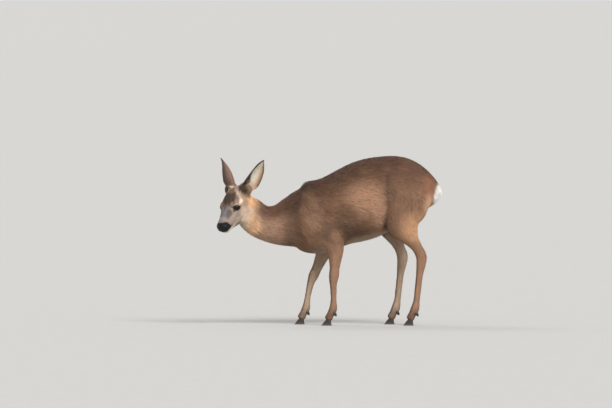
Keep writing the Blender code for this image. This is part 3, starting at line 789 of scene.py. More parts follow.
# %% Eyeballs
PUPIL = (0.0072, 0.0046)  # half its length and half its height


def eye_matrix(way):
    """Axes (towards the nose, up, out) and centre of an eyeball in the deer's frame."""
    axes = eye_axes(way) @ HEAD_AXES
    return axes, from_head(EYE_AT * (1, way, 1)) + SHIFT


def eyeball(name, way):
    """A ball whose radius grows towards its front by a smooth bump, as the cornea does."""
    polar, round_it = np.meshgrid(np.linspace(0, np.pi, 50)[1:-1], 2 * np.pi * np.arange(64) / 64, indexing="ij")
    radius = EYE_RADIUS - 0.0003 + 0.0005 * np.exp(-((polar / 0.75) ** 4))
    local = (direction(polar, round_it) * radius[..., None]).reshape(-1, 3)
    local = np.vstack([local, [0, 0, EYE_RADIUS + 0.0002], [0, 0, -EYE_RADIUS + 0.0003]])
    axes, centre = eye_matrix(way)
    faces = ring_faces(48, 64)
    if np.linalg.det(axes) > 0:
        faces = [face[::-1] for face in faces]
    return mesh_object(name, local @ axes + centre, faces)


def eye_material(name, way):
    """A wet eyeball: black pupil, dark iris, and white of the eye stained brown."""
    made, tree, output = new_material(name)
    axes, centre = eye_matrix(way)
    place = add_node(tree, "ShaderNodeTexCoord")
    # A turn can't mirror, so where the axes are left-handed the one that points up is reversed.
    handed = axes if np.linalg.det(axes) > 0 else axes * [[1], [-1], [1]]
    moved = {"Vector": place.outputs["Object"], "Location": centre.tolist()}
    moved["Rotation"] = Matrix(handed.T.tolist()).to_euler()
    local = add_node(tree, "ShaderNodeMapping", moved, vector_type="TEXTURE")
    inverse = (1 / PUPIL[0], 1 / PUPIL[1], 0)
    flat = add_node(tree, "ShaderNodeVectorMath", {0: local.outputs[0], 1: inverse}, operation="MULTIPLY")
    pupil = add_node(tree, "ShaderNodeVectorMath", {0: flat.outputs[0]}, operation="LENGTH")
    round_part = add_node(tree, "ShaderNodeVectorMath", {0: local.outputs[0], 1: (1, 1, 0)}, operation="MULTIPLY")
    away = add_node(tree, "ShaderNodeVectorMath", {0: round_part.outputs[0]}, operation="LENGTH")
    open_pupil = add_node(tree, "ShaderNodeMapRange", {0: pupil.outputs["Value"], 1: 0.9, 2: 1.15, 3: 0.0, 4: 1.0})
    edge = add_node(tree, "ShaderNodeMapRange", {0: away.outputs["Value"], 1: 0.0096, 2: 0.0106, 3: 0.0, 4: 1.0})
    # Fine spokes of the iris, about half a millimetre apart.
    spokes = add_node(tree, "ShaderNodeTexNoise", {"Vector": local.outputs[0], "Scale": 900.0, "Detail": 2.0})
    browns = {0: spokes.outputs["Fac"], 6: opaque("#120a07"), 7: opaque("#29170e")}
    iris = add_node(tree, "ShaderNodeMix", browns, data_type="RGBA")
    pupil_in_iris = {0: open_pupil.outputs[0], 6: opaque("#050405"), 7: iris.outputs[2]}
    inner = add_node(tree, "ShaderNodeMix", pupil_in_iris, data_type="RGBA")
    iris_in_white = {0: edge.outputs[0], 6: inner.outputs[2], 7: opaque("#1c1411")}
    whole = add_node(tree, "ShaderNodeMix", iris_in_white, data_type="RGBA")
    # A tear film is as smooth as water and bends light by about 1.38, so it mirrors the lamps sharply.
    wet = {"Base Color": whole.outputs[2], "Roughness": 0.06, "IOR": 1.38}
    shader = add_node(tree, "ShaderNodeBsdfPrincipled", wet)
    tree.links.new(shader.outputs[0], output.inputs["Surface"])
    return made


for side, way in (("left", 1), ("right", -1)):
    eye = eyeball(f"eyeball_{side}", way)
    eye.data.materials.append(eye_material(f"wet_eye_{side}", way))
    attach(eye, "root")
    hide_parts(f"eye_{side}")
print("eyes done")

# %% [markdown]
# ## Hooves
# Each foot stands on two claws of horn, and two dewclaws hang behind. Horn grows down from the
# coronet, so it carries fine level ridges, and it wears round at its lower edge. A claw is a stack of
# drop-shaped rings that slope back, closed by a slightly rounded sole.

# %% Claws
CLAW_LENGTH, CLAW_WIDTH = 0.041, 0.0158


def claw(x, y, turn, around=56, rings=20):
    """Rings of a drop shape, narrow at the toe. Upwards they slope back and end on the coronet. The
    lowest rings are drawn in like a quarter circle, which rounds the wearing edge."""
    angle = 2 * np.pi * np.arange(around) / around
    h = np.concatenate([[0, 0, 0.004, 0.015, 0.03], np.linspace(0.05, 1, rings - 5)])[:, None]
    inset = np.array([0.0016, 0.0006, 0.0002, 0.00005, 0] + [0] * (rings - 5))[:, None]
    front, rear = -0.5 * CLAW_LENGTH + 0.020 * h + inset, 0.5 * CLAW_LENGTH - 0.003 * h - inset
    u = (front + rear) / 2 - (rear - front) / 2 * np.cos(angle)
    v = CLAW_WIDTH / 2 * (1 + np.sin(angle) * (1 - 0.42 * np.cos(angle)) / 1.1 * (1 - 0.05 * h))
    v = CLAW_WIDTH / 2 + (v - CLAW_WIDTH / 2) * (1 - inset / 0.008)
    w = h * (CORONET - 0.0003 - SLOPE * (u + 0.5 * CLAW_LENGTH - 0.02))
    rim = np.stack([x + u, y + turn * (v + 0.0008), w], -1)
    points = np.vstack([rim.reshape(-1, 3), rim[0].mean(0), rim[-1].mean(0)])
    faces = ring_faces(rings, around)
    return points, [face[::-1] for face in faces] if turn > 0 else faces


# Horn is keratin that bends light by about 1.55. The ground wears it to a satin, dark and ridged, and
# paler where the edge is thin.
horn, tree, output = new_material("keratin_horn")
place = add_node(tree, "ShaderNodeTexCoord")
# Growth ridges about a millimetre apart, level round the claw.
squeezed = add_node(tree, "ShaderNodeMapping", {"Vector": place.outputs["Object"], "Scale": (60.0, 60.0, 900.0)})
ridges = add_node(tree, "ShaderNodeTexNoise", {"Vector": squeezed.outputs[0], "Scale": 1.0, "Detail": 3.0})
worn = add_node(tree, "ShaderNodeSeparateXYZ", {0: place.outputs["Object"]})
low_part = add_node(tree, "ShaderNodeMapRange", {0: worn.outputs["Z"], 1: 0.001, 2: 0.010, 3: 1.0, 4: 0.0})
browns = {0: ridges.outputs["Fac"], 6: opaque("#1b1613"), 7: opaque("#3c322b")}
dark = add_node(tree, "ShaderNodeMix", browns, data_type="RGBA")
pale_edge = {0: low_part.outputs[0], 6: dark.outputs[2], 7: opaque("#564839")}
tone = add_node(tree, "ShaderNodeMix", pale_edge, data_type="RGBA")
bump = add_node(tree, "ShaderNodeBump", {"Height": ridges.outputs["Fac"], "Strength": 0.35, "Distance": 0.0004})
satin = {"Base Color": tone.outputs[2], "Roughness": 0.42, "IOR": 1.55, "Normal": bump.outputs[0]}
shader = add_node(tree, "ShaderNodeBsdfPrincipled", satin)
tree.links.new(shader.outputs[0], output.inputs["Surface"])

# %% Claws of the four feet
DEWCLAW = (0.0075, 0.0062, 0.011)  # its reach along, across and up
DEW_AT, DEW_LEAN = (0.034, 0.0095, 0.046), math.radians(-32)  # from the foot's middle, and how it leans
for foot, (way, x, track) in FEET.items():
    for part, turn in (("outer", way), ("inner", -way)):
        points, faces = claw(x, way * track, turn)
        dew, dew_faces = ball((0, 0, 0), DEWCLAW, 24, 32)
        dew[:, :2] *= 0.85 + 0.25 * dew[:, 2:] / DEWCLAW[2]
        dew_at = np.array([x, way * track, 0]) + DEW_AT * np.array([1, turn, 1])
        dew = dew @ turning((0, 1, 0), DEW_LEAN).T + dew_at
        for name, shape in (("claw", (points, faces)), ("dewclaw", (dew, dew_faces))):
            piece = mesh_object(f"horn_{name}_{foot}_{part}", shape[0] + SHIFT, shape[1])
            piece.data.materials.append(horn)
            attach(piece, "root")
            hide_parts(f"{name}_{foot}_{part}")
print("claws done")

# %% [markdown]
# ## Where each point of the skin belongs
# Length, lie and colour of the coat change over the body. For every point of the skin the nearest
# ring of each tube is found, which gives its place along that tube, its angle around it, and how
# close it is to that tube's own surface. The closer it is, the more that tube has to say.

# %% Body parts of each point
TUBES = {"trunk": rings_of(trunk_rows, 60, upright=True), "neck": rings_of(NECK, 40)}
TUBES.update({name: rings_of(rows, 60) for name, rows in LEGS.items()})
centre, *axes, reaches, at, length = rings_of(head_rows, 40)
TUBES["head"] = (from_head(centre), *(axis @ HEAD_AXES for axis in axes), reaches, at, length)


def tube_place(points, tube):
    """Number of the nearest ring, place along (0 to 1), angle around (0 to 1), share of the radius."""
    centre, along, across, up, reaches, at, length = tube
    nearest = (centre**2).sum(1) - 2 * points @ centre.T
    i = nearest.argmin(1)
    away = points - centre[i]
    side, rise, past = ((away * axis[i]).sum(1) for axis in (across, up, along))
    tall = np.where(rise > 0, reaches[i, 0], reaches[i, 1])
    share = np.sqrt((side / reaches[i, 2]) ** 2 + (rise / tall) ** 2 + (past / reaches[i, 2]) ** 2)
    return i, np.clip((at[i] + past) / length, 0, 1), np.arctan2(side, rise) / (2 * np.pi) + 0.5, share


points = read(skin.data.vertices, "co", 3) - SHIFT
triangles = triangles_of(skin.data)
normals = normals_of(points, triangles)
on_ear = np.arange(len(points)) >= ear_start
places = {name: tube_place(points, tube) for name, tube in TUBES.items()}
share = np.stack([place[3] for place in places.values()], -1)
weight = np.exp(-6 * (share - share.min(1, keepdims=True)))
weight /= weight.sum(1, keepdims=True)
belongs = dict(zip(places, weight.T))
head = to_head(points)
at_head = headness(points)
print("share of points by part:", {name: round(float(part.mean()), 2) for name, part in belongs.items()})

# %% [markdown]
# ## The lie of the coat
# Hair lies from nose to tail and from shoulder and hip down to the feet. Each tube gives a
# direction, and the weights above mix them. Length and width of the tufts go from a few millimetres
# on the face to more than two centimetres on neck and rump.

# %% Lie of the coat
def laid(way, normal):
    """A direction laid flat on the skin."""
    return unit(way - normal * (way * normal).sum(1, keepdims=True))


def of_ears(values):
    """One value for each point of the skin: zeros, and then the values of the two ears."""
    return np.concatenate([np.zeros(ear_start), *values])


side_ways = np.abs(normals[:, 1])
lie = np.zeros_like(points)
for name, (i, *_) in places.items():
    along = TUBES[name][1][i]
    if name == "trunk":
        fall = 0.05 + 0.20 * side_ways + 1.7 * step(0.34, 0.45, points[:, 0])
        way_down = np.stack([1.0 + 0 * fall, 0 * fall, -fall], -1)
    elif name == "neck":
        way_down = along + np.stack([0 * side_ways, 0 * side_ways, -0.35 * side_ways], -1)
    elif name == "head":
        way_down = -along - 0.30 * step(0.02, 0.05, np.abs(head[:, 1]))[:, None] * HEAD_AXES[2]
    else:
        way_down = along + 0.45 * step(0.30, 0.50, points[:, 2])[:, None] * (1, 0, 0)
    lie += belongs[name][:, None] * unit(way_down)
ear_s, ear_t, ear_side = (of_ears(ear[k] for ear in ears) for k in (2, 3, 4))
lie[ear_start:] = np.vstack([ear[5] for ear in ears])
lie = laid(lie, normals)
print("lie of the coat on average:", lie.mean(0).round(2))

# %% Length and width of the tufts
legs = sum(belongs[name] for name in LEGS)
height = points[:, 2]
length = 0.022 + 0.004 * belongs["neck"] + 0.006 * step(0.40, 0.44, points[:, 0])
length -= 0.006 * step(0.42, 0.32, height) * (1 - legs)
leg_length = 0.0085 + 0.0055 * step(0.20, 0.32, height)
length = np.where(height < 0.40, length + (leg_length - length) * step(0.42, 0.26, height), length)
face = 0.0032 + 0.0035 * step(0.175, 0.12, head[:, 0]) + 0.0060 * step(0.11, 0.03, head[:, 0])
length += at_head * (face - length)
for way in (1, -1):
    reach, polar, _, edge = lid_place(head, way)
    length *= 1 - 0.6 * (reach < LID_REACH) * at_head * step(np.radians(40), np.radians(14), polar - edge)
ear_length = np.where(ear_side > 0, 0.0075 + 0.009 * step(0.35, 0.05, ear_s), 0.0055 + 0.003 * step(0.25, 0.0, ear_s))
length = np.where(on_ear, ear_length, length)
depth = coat_depth(points)
depth[ear_start:] = 0.0010
width = np.clip(0.062 * length, 0.00034, 0.0016)
print("tuft length in mm:", (length.min() * 1000).round(1), "to", (length.max() * 1000).round(1))

# %% [markdown]
# ## Markings, with painted light and shade
# The winter coat is grey-brown, dark along the back and pale below, with a white patch on the rump.
# The face has a dark forehead, a grey bridge, cream cheeks and a black nose with a white chin. All
# this is one function of place, and both the skin and the tufts take their colour from it. Soft
# round patches do for most marks, and lines for the rims. Some patches and lines are not the coat's
# own colour but painted light and shade: a lit side of the barrel and arm, a shaded low side, and
# shade in creases and hollows.


# %% Ways to paint
def ripple(points, size, seed):
    """Smooth noise between about -1 and 1: the mean of waves of about this length in many directions."""
    waves = np.random.default_rng(seed)
    ways = unit(waves.normal(size=(14, 3)))
    pace = 2 * np.pi / (size * waves.uniform(0.6, 1.6, 14))
    return np.sin(points @ (ways * pace[:, None]).T + waves.uniform(0, 6.28, 14)).sum(1) / 14 * 2.2


def painted(colour, *layers):
    """The colour moved towards each layer's colour (a hex code or one for each point) by its share."""
    for tone, share in layers:
        tone = linear(tone) if isinstance(tone, str) else tone
        colour = colour + np.clip(share, 0, 1)[:, None] * (tone - colour)
    return colour


def patched(colour, points, patches, full, uneven):
    """The colour under soft round patches, which fade from full to 1.25 times their reach."""
    for middle, reach, code, strength in patches:
        away = np.linalg.norm((both_sides(points) - middle) / reach, axis=1) + uneven
        colour = painted(colour, (code, strength * step(1.25, full, away)))
    return colour


# %% Colours of the head
# Soft patches of the head, the same on both sides: middle, reach each way, colour, strength. The
# jaw's edge and the buttons' hair are partly painted light.
PATCHES = [
    ((0.062, 0.000, 0.050), (0.060, 0.036, 0.026), "#422f23", 0.97),  # forehead
    ((0.040, 0.004, 0.058), (0.020, 0.017, 0.014), "#7d5c47", 0.75),  # rusty crown
    ((0.092, 0.024, 0.040), (0.020, 0.012, 0.012), "#4a372b", 0.80),  # over the eye
    ((0.145, 0.000, 0.032), (0.045, 0.023, 0.022), "#827d80", 0.95),  # bridge of the nose
    ((0.160, 0.012, 0.022), (0.011, 0.030, 0.016), "#a2948c", 0.85),  # light band over the nose
    ((0.097, 0.024, 0.041), (0.012, 0.007, 0.010), "#b3967e", 0.70),  # light spot before the eye
    ((0.122, 0.036, 0.004), (0.042, 0.022, 0.028), "#b3a196", 0.90),  # side of the face
    ((0.133, 0.021, 0.023), (0.022, 0.011, 0.013), "#5f524c", 0.75),  # side of the bridge
    ((0.047, 0.047, 0.002), (0.032, 0.020, 0.024), "#b8957d", 0.85),  # temple
    ((0.060, 0.045, -0.040), (0.050, 0.030, 0.028), "#e2c6ab", 0.95),  # jaw
    ((0.110, 0.034, -0.026), (0.045, 0.026, 0.016), "#c9b09c", 0.85),  # under the face
    ((0.085, 0.010, -0.068), (0.060, 0.040, 0.026), "#dccab2", 0.85),  # throat end of the jaw
    ((0.084, 0.040, -0.020), (0.020, 0.016, 0.026), "#ecd2bf", 0.75),  # cheek
    ((0.084, 0.030, -0.048), (0.024, 0.024, 0.015), "#ffecd6", 0.90),  # edge of the jaw: pale hair, lightened further as painted light
    ((0.012, 0.048, -0.020), (0.030, 0.032, 0.046), "#ebbb8a", 1.00),  # bright band behind the cheek
    ((0.067, 0.0435, 0.025), (0.013, 0.013, 0.010), "#f0d2b8", 1.00),  # brow spot
    ((0.002, 0.038, 0.022), (0.032, 0.026, 0.030), "#7a5a3e", 0.85),  # ear root
    ((0.017, 0.0120, 0.058), (0.016, 0.008, 0.016), "#d9c2a6", 0.85),  # hair on the buttons: pale hair, with painted light on their lit side
    ((0.019, 0.0285, 0.050), (0.019, 0.0115, 0.014), "#45332a", 0.90),  # dark patch before the ear
    ((-0.006, 0.000, 0.046), (0.020, 0.016, 0.020), "#6b4f3f", 0.85),  # poll
    ((-0.022, 0.020, 0.040), (0.026, 0.018, 0.024), "#765746", 0.90),  # behind the ears
    ((0.010, 0.037, 0.036), (0.022, 0.016, 0.016), "#3f2d20", 0.90),  # front of the ear root
    ((-0.006, 0.052, 0.000), (0.022, 0.016, 0.018), "#d79f6a", 0.90),  # behind the ear root
]


def head_colour(head):
    """Colours of the head at points of its own frame."""
    mirrored = both_sides(head)
    along, _, up = mirrored.T
    stripe = line_distance(mirrored, [(0.018, 0.008, 0.057), (0.057, 0.037, 0.035)]) + 0.003 * ripple(head, 0.010, 12)
    flecks = 0.6 * step(0.15, 0.75, ripple(head * (0.5, 1, 1), 0.013, 10))
    from_brow = np.linalg.norm(head - (0.075, 0, 0.048), axis=1)
    mouth = np.interp(along, [0.150, 0.170, 0.190, 0.198], [-0.0190, -0.0150, -0.0125, -0.0110])
    lip = line_distance(mirrored, [(0.190, 0.012, -0.0075), (0.167, 0.0255, -0.0105)])
    colour = painted(
        patched(linear("#9c8370"), head, PATCHES, 0.55, 0.16 * ripple(head, 0.012, 9)),
        ("#c9b09a", 0.75 * step(0.011, 0.003, stripe)),
        ("#33261e", flecks * step(0.060, 0.035, from_brow)),
        ("#e4dbcf", step(0.0, -0.004, up - mouth) * step(0.128, 0.150, along) * 0.95),  # chin
        ("#15110f", step(0.0085, 0.0050, lip)),
        ("#2b211c", step(0.0026, 0.0010, line_distance(mirrored, MOUTH[1:]))),
    )
    for way in (1, -1):
        reach, polar, _, edge = lid_place(head, way)
        near, beyond = reach < LID_REACH, polar - edge
        colour = painted(
            colour,
            ("#cdb8a8", 0.65 * near * step(np.radians(36), np.radians(22), beyond)),  # pale ring
            ("#1d1511", near * step(np.radians(26), np.radians(12), beyond)),  # dark lids
        )
    return painted(
        colour,
        ("#3a2c25", 0.85 * step(0.0070, 0.0025, line_distance(mirrored, TEAR))),
        ("#0b0a0a", np.maximum(black_share(head), nose_share(head))),
    )


print("patches of the head:", len(PATCHES))

# %% Colours of the body
# Soft patches of the body, the same on both sides, in the same columns. Some are the coat's own
# marks; the others are painted light on the lit side of the barrel and arm, and painted shade low
# on the barrel, behind the arm and in the flank's hollow and fold.
BODY_PATCHES = [
    ((0.128, 0.100, 0.509), (0.092, 0.080, 0.073), "#c29676", 0.78),  # full side of the barrel, painted light
    ((0.186, 0.085, 0.452), (0.038, 0.080, 0.070), "#bf9375", 0.60),  # its rear end, painted light
    ((-0.150, 0.050, 0.455), (0.032, 0.070, 0.110), "#5c4334", 0.55),  # base of the neck: dark hair, partly painted shade before the shoulder
    ((-0.105, 0.000, 0.565), (0.055, 0.070, 0.045), "#4a3427", 0.80),  # withers: dark hair, partly painted shade
    ((0.055, 0.090, 0.372), (0.135, 0.080, 0.056), "#594131", 0.75),  # painted shade on the low side behind the elbow
    ((0.232, 0.090, 0.560), (0.026, 0.120, 0.150), "#5b4031", 0.35),  # painted shade in the hollow in front of the thigh
    ((0.215, 0.090, 0.395), (0.016, 0.080, 0.050), "#3e2d22", 0.75),  # painted shade in the fold of the flank
    ((0.315, 0.090, 0.610), (0.085, 0.090, 0.060), "#734e3a", 0.60),  # croup
    ((0.395, 0.060, 0.560), (0.045, 0.060, 0.080), "#a0694a", 0.50),  # red edge before the rump patch
    ((0.398, 0.060, 0.488), (0.034, 0.060, 0.058), "#cfa486", 0.75),  # light edge below it
    ((0.335, 0.085, 0.395), (0.070, 0.080, 0.075), "#cf9f77", 0.85),  # low thigh
    ((-0.050, 0.085, 0.455), (0.050, 0.060, 0.060), "#7a5a45", 0.65),  # shoulder
    ((0.015, 0.080, 0.370), (0.028, 0.060, 0.030), "#a37a5d", 0.70),  # painted light on the edge of the elbow
    ((-0.080, 0.090, 0.414), (0.038, 0.050, 0.040), "#a88468", 0.55),  # painted light on the upper arm
    ((0.060, 0.095, 0.452), (0.048, 0.050, 0.042), "#6c503d", 0.60),  # painted shade on the ribs behind the arm
]
# Painted shade along creases of the body: points along them, radius, strength. One runs behind the
# arm, and one before the thigh.
BEHIND_ARM = [(-0.022, 0.085, 0.458), (0.018, 0.098, 0.434), (0.050, 0.098, 0.402), (0.062, 0.078, 0.358)]
BEFORE_THIGH = [(0.221, 0.076, 0.617), (0.217, 0.096, 0.562), (0.221, 0.101, 0.502), (0.217, 0.091, 0.442)]
BEFORE_THIGH += [(0.213, 0.069, 0.398)]
SHADED_CREASES = [(BEHIND_ARM, 0.009, 0.55), (BEFORE_THIGH, 0.012, 0.70)]

trunk_x, *trunk_edges = np.array(TRUNK).T[:3]
back_line, belly_line = (np.interp(points[:, 0], trunk_x, edge) for edge in trunk_edges)
rise = (points[:, 2] - belly_line) / (back_line - belly_line)
dark_back = step(0.60, 0.96, rise + 0.05 * ripple(points, 0.06, 3))
coat_and_painted_light = painted(linear("#8e694f"), ("#5f412f", dark_back))
coat_and_painted_light = patched(coat_and_painted_light, points, BODY_PATCHES, 0.35, 0.06 * ripple(points, 0.030, 8))
# Painted shade darkens each crease.
for line, radius, strength in SHADED_CREASES:
    away = line_distance(both_sides(points), line) / radius + 0.2 * ripple(points, 0.020, 15)
    coat_and_painted_light = painted(coat_and_painted_light, ("#4d3628", strength * step(1.2, 0.1, away)))
belly = step(-0.60, -0.95, normals[:, 2]) * step(0.25, 0.10, rise) * step(-0.12, -0.02, points[:, 0])

round_neck = np.cos(2 * np.pi * (places["neck"][2] - 0.5))
throat = np.linalg.norm((points - (-0.325, -0.035, 0.414)) / (0.044, 0.065, 0.046), axis=1)
band = np.abs(points[:, 0] + 0.168) + 0.006 * ripple(points, 0.030, 16)
neck_tone = painted(
    linear("#ac866c"),
    ("#6f4d39", step(0.15, 0.9, round_neck + 0.1 * ripple(points, 0.05, 4))),
    ("#b6937a", step(-0.05, -0.7, round_neck) * step(-0.20, -0.26, points[:, 0])),
    ("#edc095", 0.9 * step(1.3, 0.6, throat)),
    # Dark band at the base of the neck: partly dark hair, partly painted shade before the shoulder.
    ("#57402f", 0.6 * step(0.040, 0.005, band)),
)
inward = -normals[:, 1] * np.sign(points[:, 1])
leg_tone = painted(
    linear("#a37c60"),
    ("#c2a78d", step(0.1, 0.8, inward)),
    ("#785a47", step(0.3, 0.9, -normals[:, 0]) * step(0.30, 0.20, height)),
    ("#5d4535", step(0.09, 0.045, height) * 0.7),
)
limb = step(0.38, 0.28, height) * legs
rump = np.linalg.norm((points - (0.452, 0, 0.530)) / (0.052, 0.085, 0.057), axis=1)
# The light cheek colour reaches a little past the head, partly pale hair and partly painted light on
# the jaw's angle, up to a warm line of painted shade where the throat begins.
cheek_end = line_distance(both_sides(head), [(0.062, 0.050, -0.048), (0.084, 0.037, -0.062)])
jaw_shade_line = line_distance(both_sides(head), [(0.046, 0.060, -0.050), (0.066, 0.054, -0.068), (0.092, 0.038, -0.080)])
coat_and_painted_light = painted(
    coat_and_painted_light,
    ("#b9a28b", belly),
    (neck_tone, belongs["neck"] * step(-0.08, -0.20, points[:, 0])),
    (leg_tone, limb),
    ("#c5ae97", 0.8 * step(0.2, 0.85, inward) * step(0.50, 0.42, height) * legs * (1 - limb)),
    ("#fbf6ee", step(1.06, 0.96, rump + 0.04 * ripple(points, 0.015, 5))),
    (head_colour(head), at_head),
    # Painted light past the cheek, and the warm line of painted shade under the jaw.
    ("#ecc7a2", 0.65 * step(0.020, 0.010, cheek_end + 0.003 * ripple(points, 0.012, 14)) * ~on_ear),
    ("#b9824f", 0.6 * step(0.008, 0.002, jaw_shade_line) * ~on_ear),
)
coat_and_painted_light *= (1 + 0.07 * ripple(points, 0.030, 6) + 0.05 * ripple(points, 0.009, 7))[:, None]
print("mean colour of the body:", coat_and_painted_light[:ear_start].mean(0).round(3))

# %% Colours of the ears
edge_of_ear = np.abs(ear_t)
inner_rim = ear_t * of_ears(np.full(len(ear[0]), sign) for ear, sign in zip(ears, toward_middle))
back = painted(
    linear("#927060"),
    ("#3f2f26", step(0.20, 0.85, inner_rim + 0.25 * step(0.4, 0.0, ear_s)) * 0.9),
    ("#3f2f26", step(0.70, 0.95, edge_of_ear) * 0.8 + step(0.75, 1.0, ear_s) * 0.7),
)
dark_rim = step(0.84, 0.98, edge_of_ear) * (1 - step(0.30, 0.10, ear_s) * (inner_rim < 0))
cup = painted(
    linear("#d0ab8c"),
    # Pale hair in the cup: partly its own cream, partly painted light for light through the thin ear.
    ("#fdf0dc", step(-0.85, -0.25, inner_rim + 0.12 * ripple(points, 0.020, 13))),
    # Painted shade on the cup's side away from the head's middle.
    ("#a5795c", 0.6 * step(0.45, 0.85, -inner_rim) * step(0.15, 0.35, ear_s)),
    ("#b8957a", 0.7 * step(0.30, 0.12, ear_s)),
    ("#46342a", step(-0.24, 0.0, inner_rim - 0.62 * step(0.15, 0.65, ear_s))),
    ("#3f2f26", dark_rim + step(0.88, 0.99, ear_s)),
)
ear_tone = np.where(ear_side[:, None] > 0.02, cup, back)
ear_tone = painted(ear_tone, ("#7a5c48", step(0.16, 0.02, ear_s) * (ear_side <= 0)))
coat_and_painted_light = np.where(on_ear[:, None], ear_tone, coat_and_painted_light)
coat_and_painted_light = np.clip(coat_and_painted_light, 0.002, 0.95)
print("mean colour:", coat_and_painted_light.mean(0).round(3))

# %% [markdown]
# ## The hide
# Under the tufts lies the hide, in the coat's own colours and with a fine bump of hair, so that no
# bare ground shows between them. The nose is bare: black, wet, and cobbled in grains of about a
# millimetre. One attribute tells the bare skin from the haired skin.


# %% Skin attributes
def give(mesh, name, kind, values):
    """Writes one value for each point of a mesh."""
    key = {"FLOAT": "value", "FLOAT_VECTOR": "vector", "FLOAT_COLOR": "color"}[kind]
    mesh.attributes.new(name, kind, "POINT").data.foreach_set(key, np.ascontiguousarray(values, np.float32).ravel())


def with_alpha(colour):
    """Colours with a fourth value of 1."""
    return np.column_stack([colour, np.ones(len(colour))])


bare = nose_share(head) * at_head * ~on_ear
bare[rim_start:ear_start] = 0.6  # the moist rims of the lids
give(skin.data, "coat_and_painted_light", "FLOAT_COLOR", with_alpha(coat_and_painted_light))
give(skin.data, "bare", "FLOAT", bare)
best = weight.argmax(1)
run = np.choose(best, [place[1] * TUBES[name][-1] for name, place in places.items()])
around = [place[2] * 2 * np.pi * TUBES[name][4][:, 2].mean() for name, place in places.items()]
turned = np.choose(best, around)
run, turned = np.where(on_ear, ear_s * EAR_LENGTH, run), np.where(on_ear, ear_t * 0.04, turned)
give(skin.data, "hair_place", "FLOAT_VECTOR", np.stack([run, turned, 0 * run], -1))

# %% Material of the hide
# Skin under hair looks dull. The bare nose and the lids' rims are moist, so they shine softly; both
# bend light by about 1.36, as wet skin does.
hide, tree, output = new_material("haired_hide")
tint = add_node(tree, "ShaderNodeAttribute", attribute_name="coat_and_painted_light")
naked = add_node(tree, "ShaderNodeAttribute", attribute_name="bare")
run_at = add_node(tree, "ShaderNodeAttribute", attribute_name="hair_place")
object_at = add_node(tree, "ShaderNodeTexCoord")
# Hair lines about 0.8 mm wide and 12 mm long, drawn a little coarser than real so that they show.
drawn = add_node(tree, "ShaderNodeMapping", {"Vector": run_at.outputs["Vector"], "Scale": (80.0, 1200.0, 1.0)})
lines = {"Vector": drawn.outputs[0], "Scale": 1.0, "Detail": 3.0, "Roughness": 0.6}
hairs = add_node(tree, "ShaderNodeTexNoise", lines)
shade = add_node(tree, "ShaderNodeMapRange", {0: hairs.outputs["Fac"], 1: 0.25, 2: 0.75, 3: 0.62, 4: 1.05})
shaded = {0: tint.outputs["Color"], "Scale": shade.outputs[0]}
haired = add_node(tree, "ShaderNodeVectorMath", shaded, operation="SCALE")
tones = {0: naked.outputs["Fac"], 6: haired.outputs[0], 7: tint.outputs["Color"]}
tone = add_node(tree, "ShaderNodeMix", tones, data_type="RGBA")
# Grains of the nose, about a millimetre apart.
cobbles = {"Vector": object_at.outputs["Object"], "Scale": 900.0}
grains = add_node(tree, "ShaderNodeTexVoronoi", cobbles, feature="SMOOTH_F1")
hair_bump = add_node(tree, "ShaderNodeBump", {"Height": hairs.outputs["Fac"], "Strength": 0.5, "Distance": 0.0008})
low_grains = {"Height": grains.outputs["Distance"], "Strength": 0.4, "Distance": 0.0004}
grain_bump = add_node(tree, "ShaderNodeBump", low_grains, invert=True)
bumps = {0: naked.outputs["Fac"], 4: hair_bump.outputs[0], 5: grain_bump.outputs[0]}
relief = add_node(tree, "ShaderNodeMix", bumps, data_type="VECTOR")
rough = add_node(tree, "ShaderNodeMapRange", {0: naked.outputs["Fac"], 1: 0.0, 2: 1.0, 3: 0.75, 4: 0.30})
finish = {"Base Color": tone.outputs[2], "Roughness": rough.outputs[0], "IOR": 1.36, "Normal": relief.outputs[1]}
shader = add_node(tree, "ShaderNodeBsdfPrincipled", finish)
tree.links.new(shader.outputs[0], output.inputs["Surface"])
skin.data.materials.append(hide)
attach(skin, "root")
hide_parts("head", "neck", "trunk", "tail", "ear_left", "ear_right", *LEGS)
print("hide done")

# %% [markdown]
# ## The coat
# A hair is far too fine to model one by one, so the coat is made of tufts: thin curved blades that
# leave the skin at a low angle, bend over and lie on the ones behind them. Each blade is a strip of
# three triangles. Roots are spread over the skin by area, and each blade takes two strides along the
# lie of the coat. After each stride the nearest point of the skin tells how high the blade stands,
# and it is set to the coat's depth there.

# %% Nearest skin point on a grid of cells
CELL, MARGIN, ROUNDS = 0.004, 0.03, 6
body = points[:rim_start]
grid_low = body.min(0) - MARGIN
grid_size = np.ceil((body.max(0) + MARGIN - grid_low) / CELL).astype(int)
nearest = np.full(grid_size, -1, np.int32)
cells = ((body - grid_low) / CELL).astype(int)
nearest[tuple(cells.T)] = np.arange(len(body))
gap = np.full(grid_size, np.inf, np.float32)


def cell_gap(where, who):
    """Distance from the middle of each cell to a skin point."""
    middle = grid_low + (np.stack(np.unravel_index(where, grid_size), -1) + 0.5) * CELL
    return ((middle - body[who]) ** 2).sum(1)


full = np.nonzero(nearest.ravel() >= 0)[0]
gap.ravel()[full] = cell_gap(full, nearest.ravel()[full])
# In each round, every cell takes over its neighbour's skin point where that one is closer.
for _ in range(ROUNDS):
    for axis in range(3):
        for way in (1, -1):
            offered = np.roll(nearest, way, axis).ravel()
            where = np.nonzero(offered >= 0)[0]
            distance = cell_gap(where, offered[where])
            closer = distance < gap.ravel()[where]
            nearest.ravel()[where[closer]] = offered[where[closer]]
            gap.ravel()[where[closer]] = distance[closer]
print("cells:", tuple(grid_size), "filled:", int((nearest >= 0).sum()))


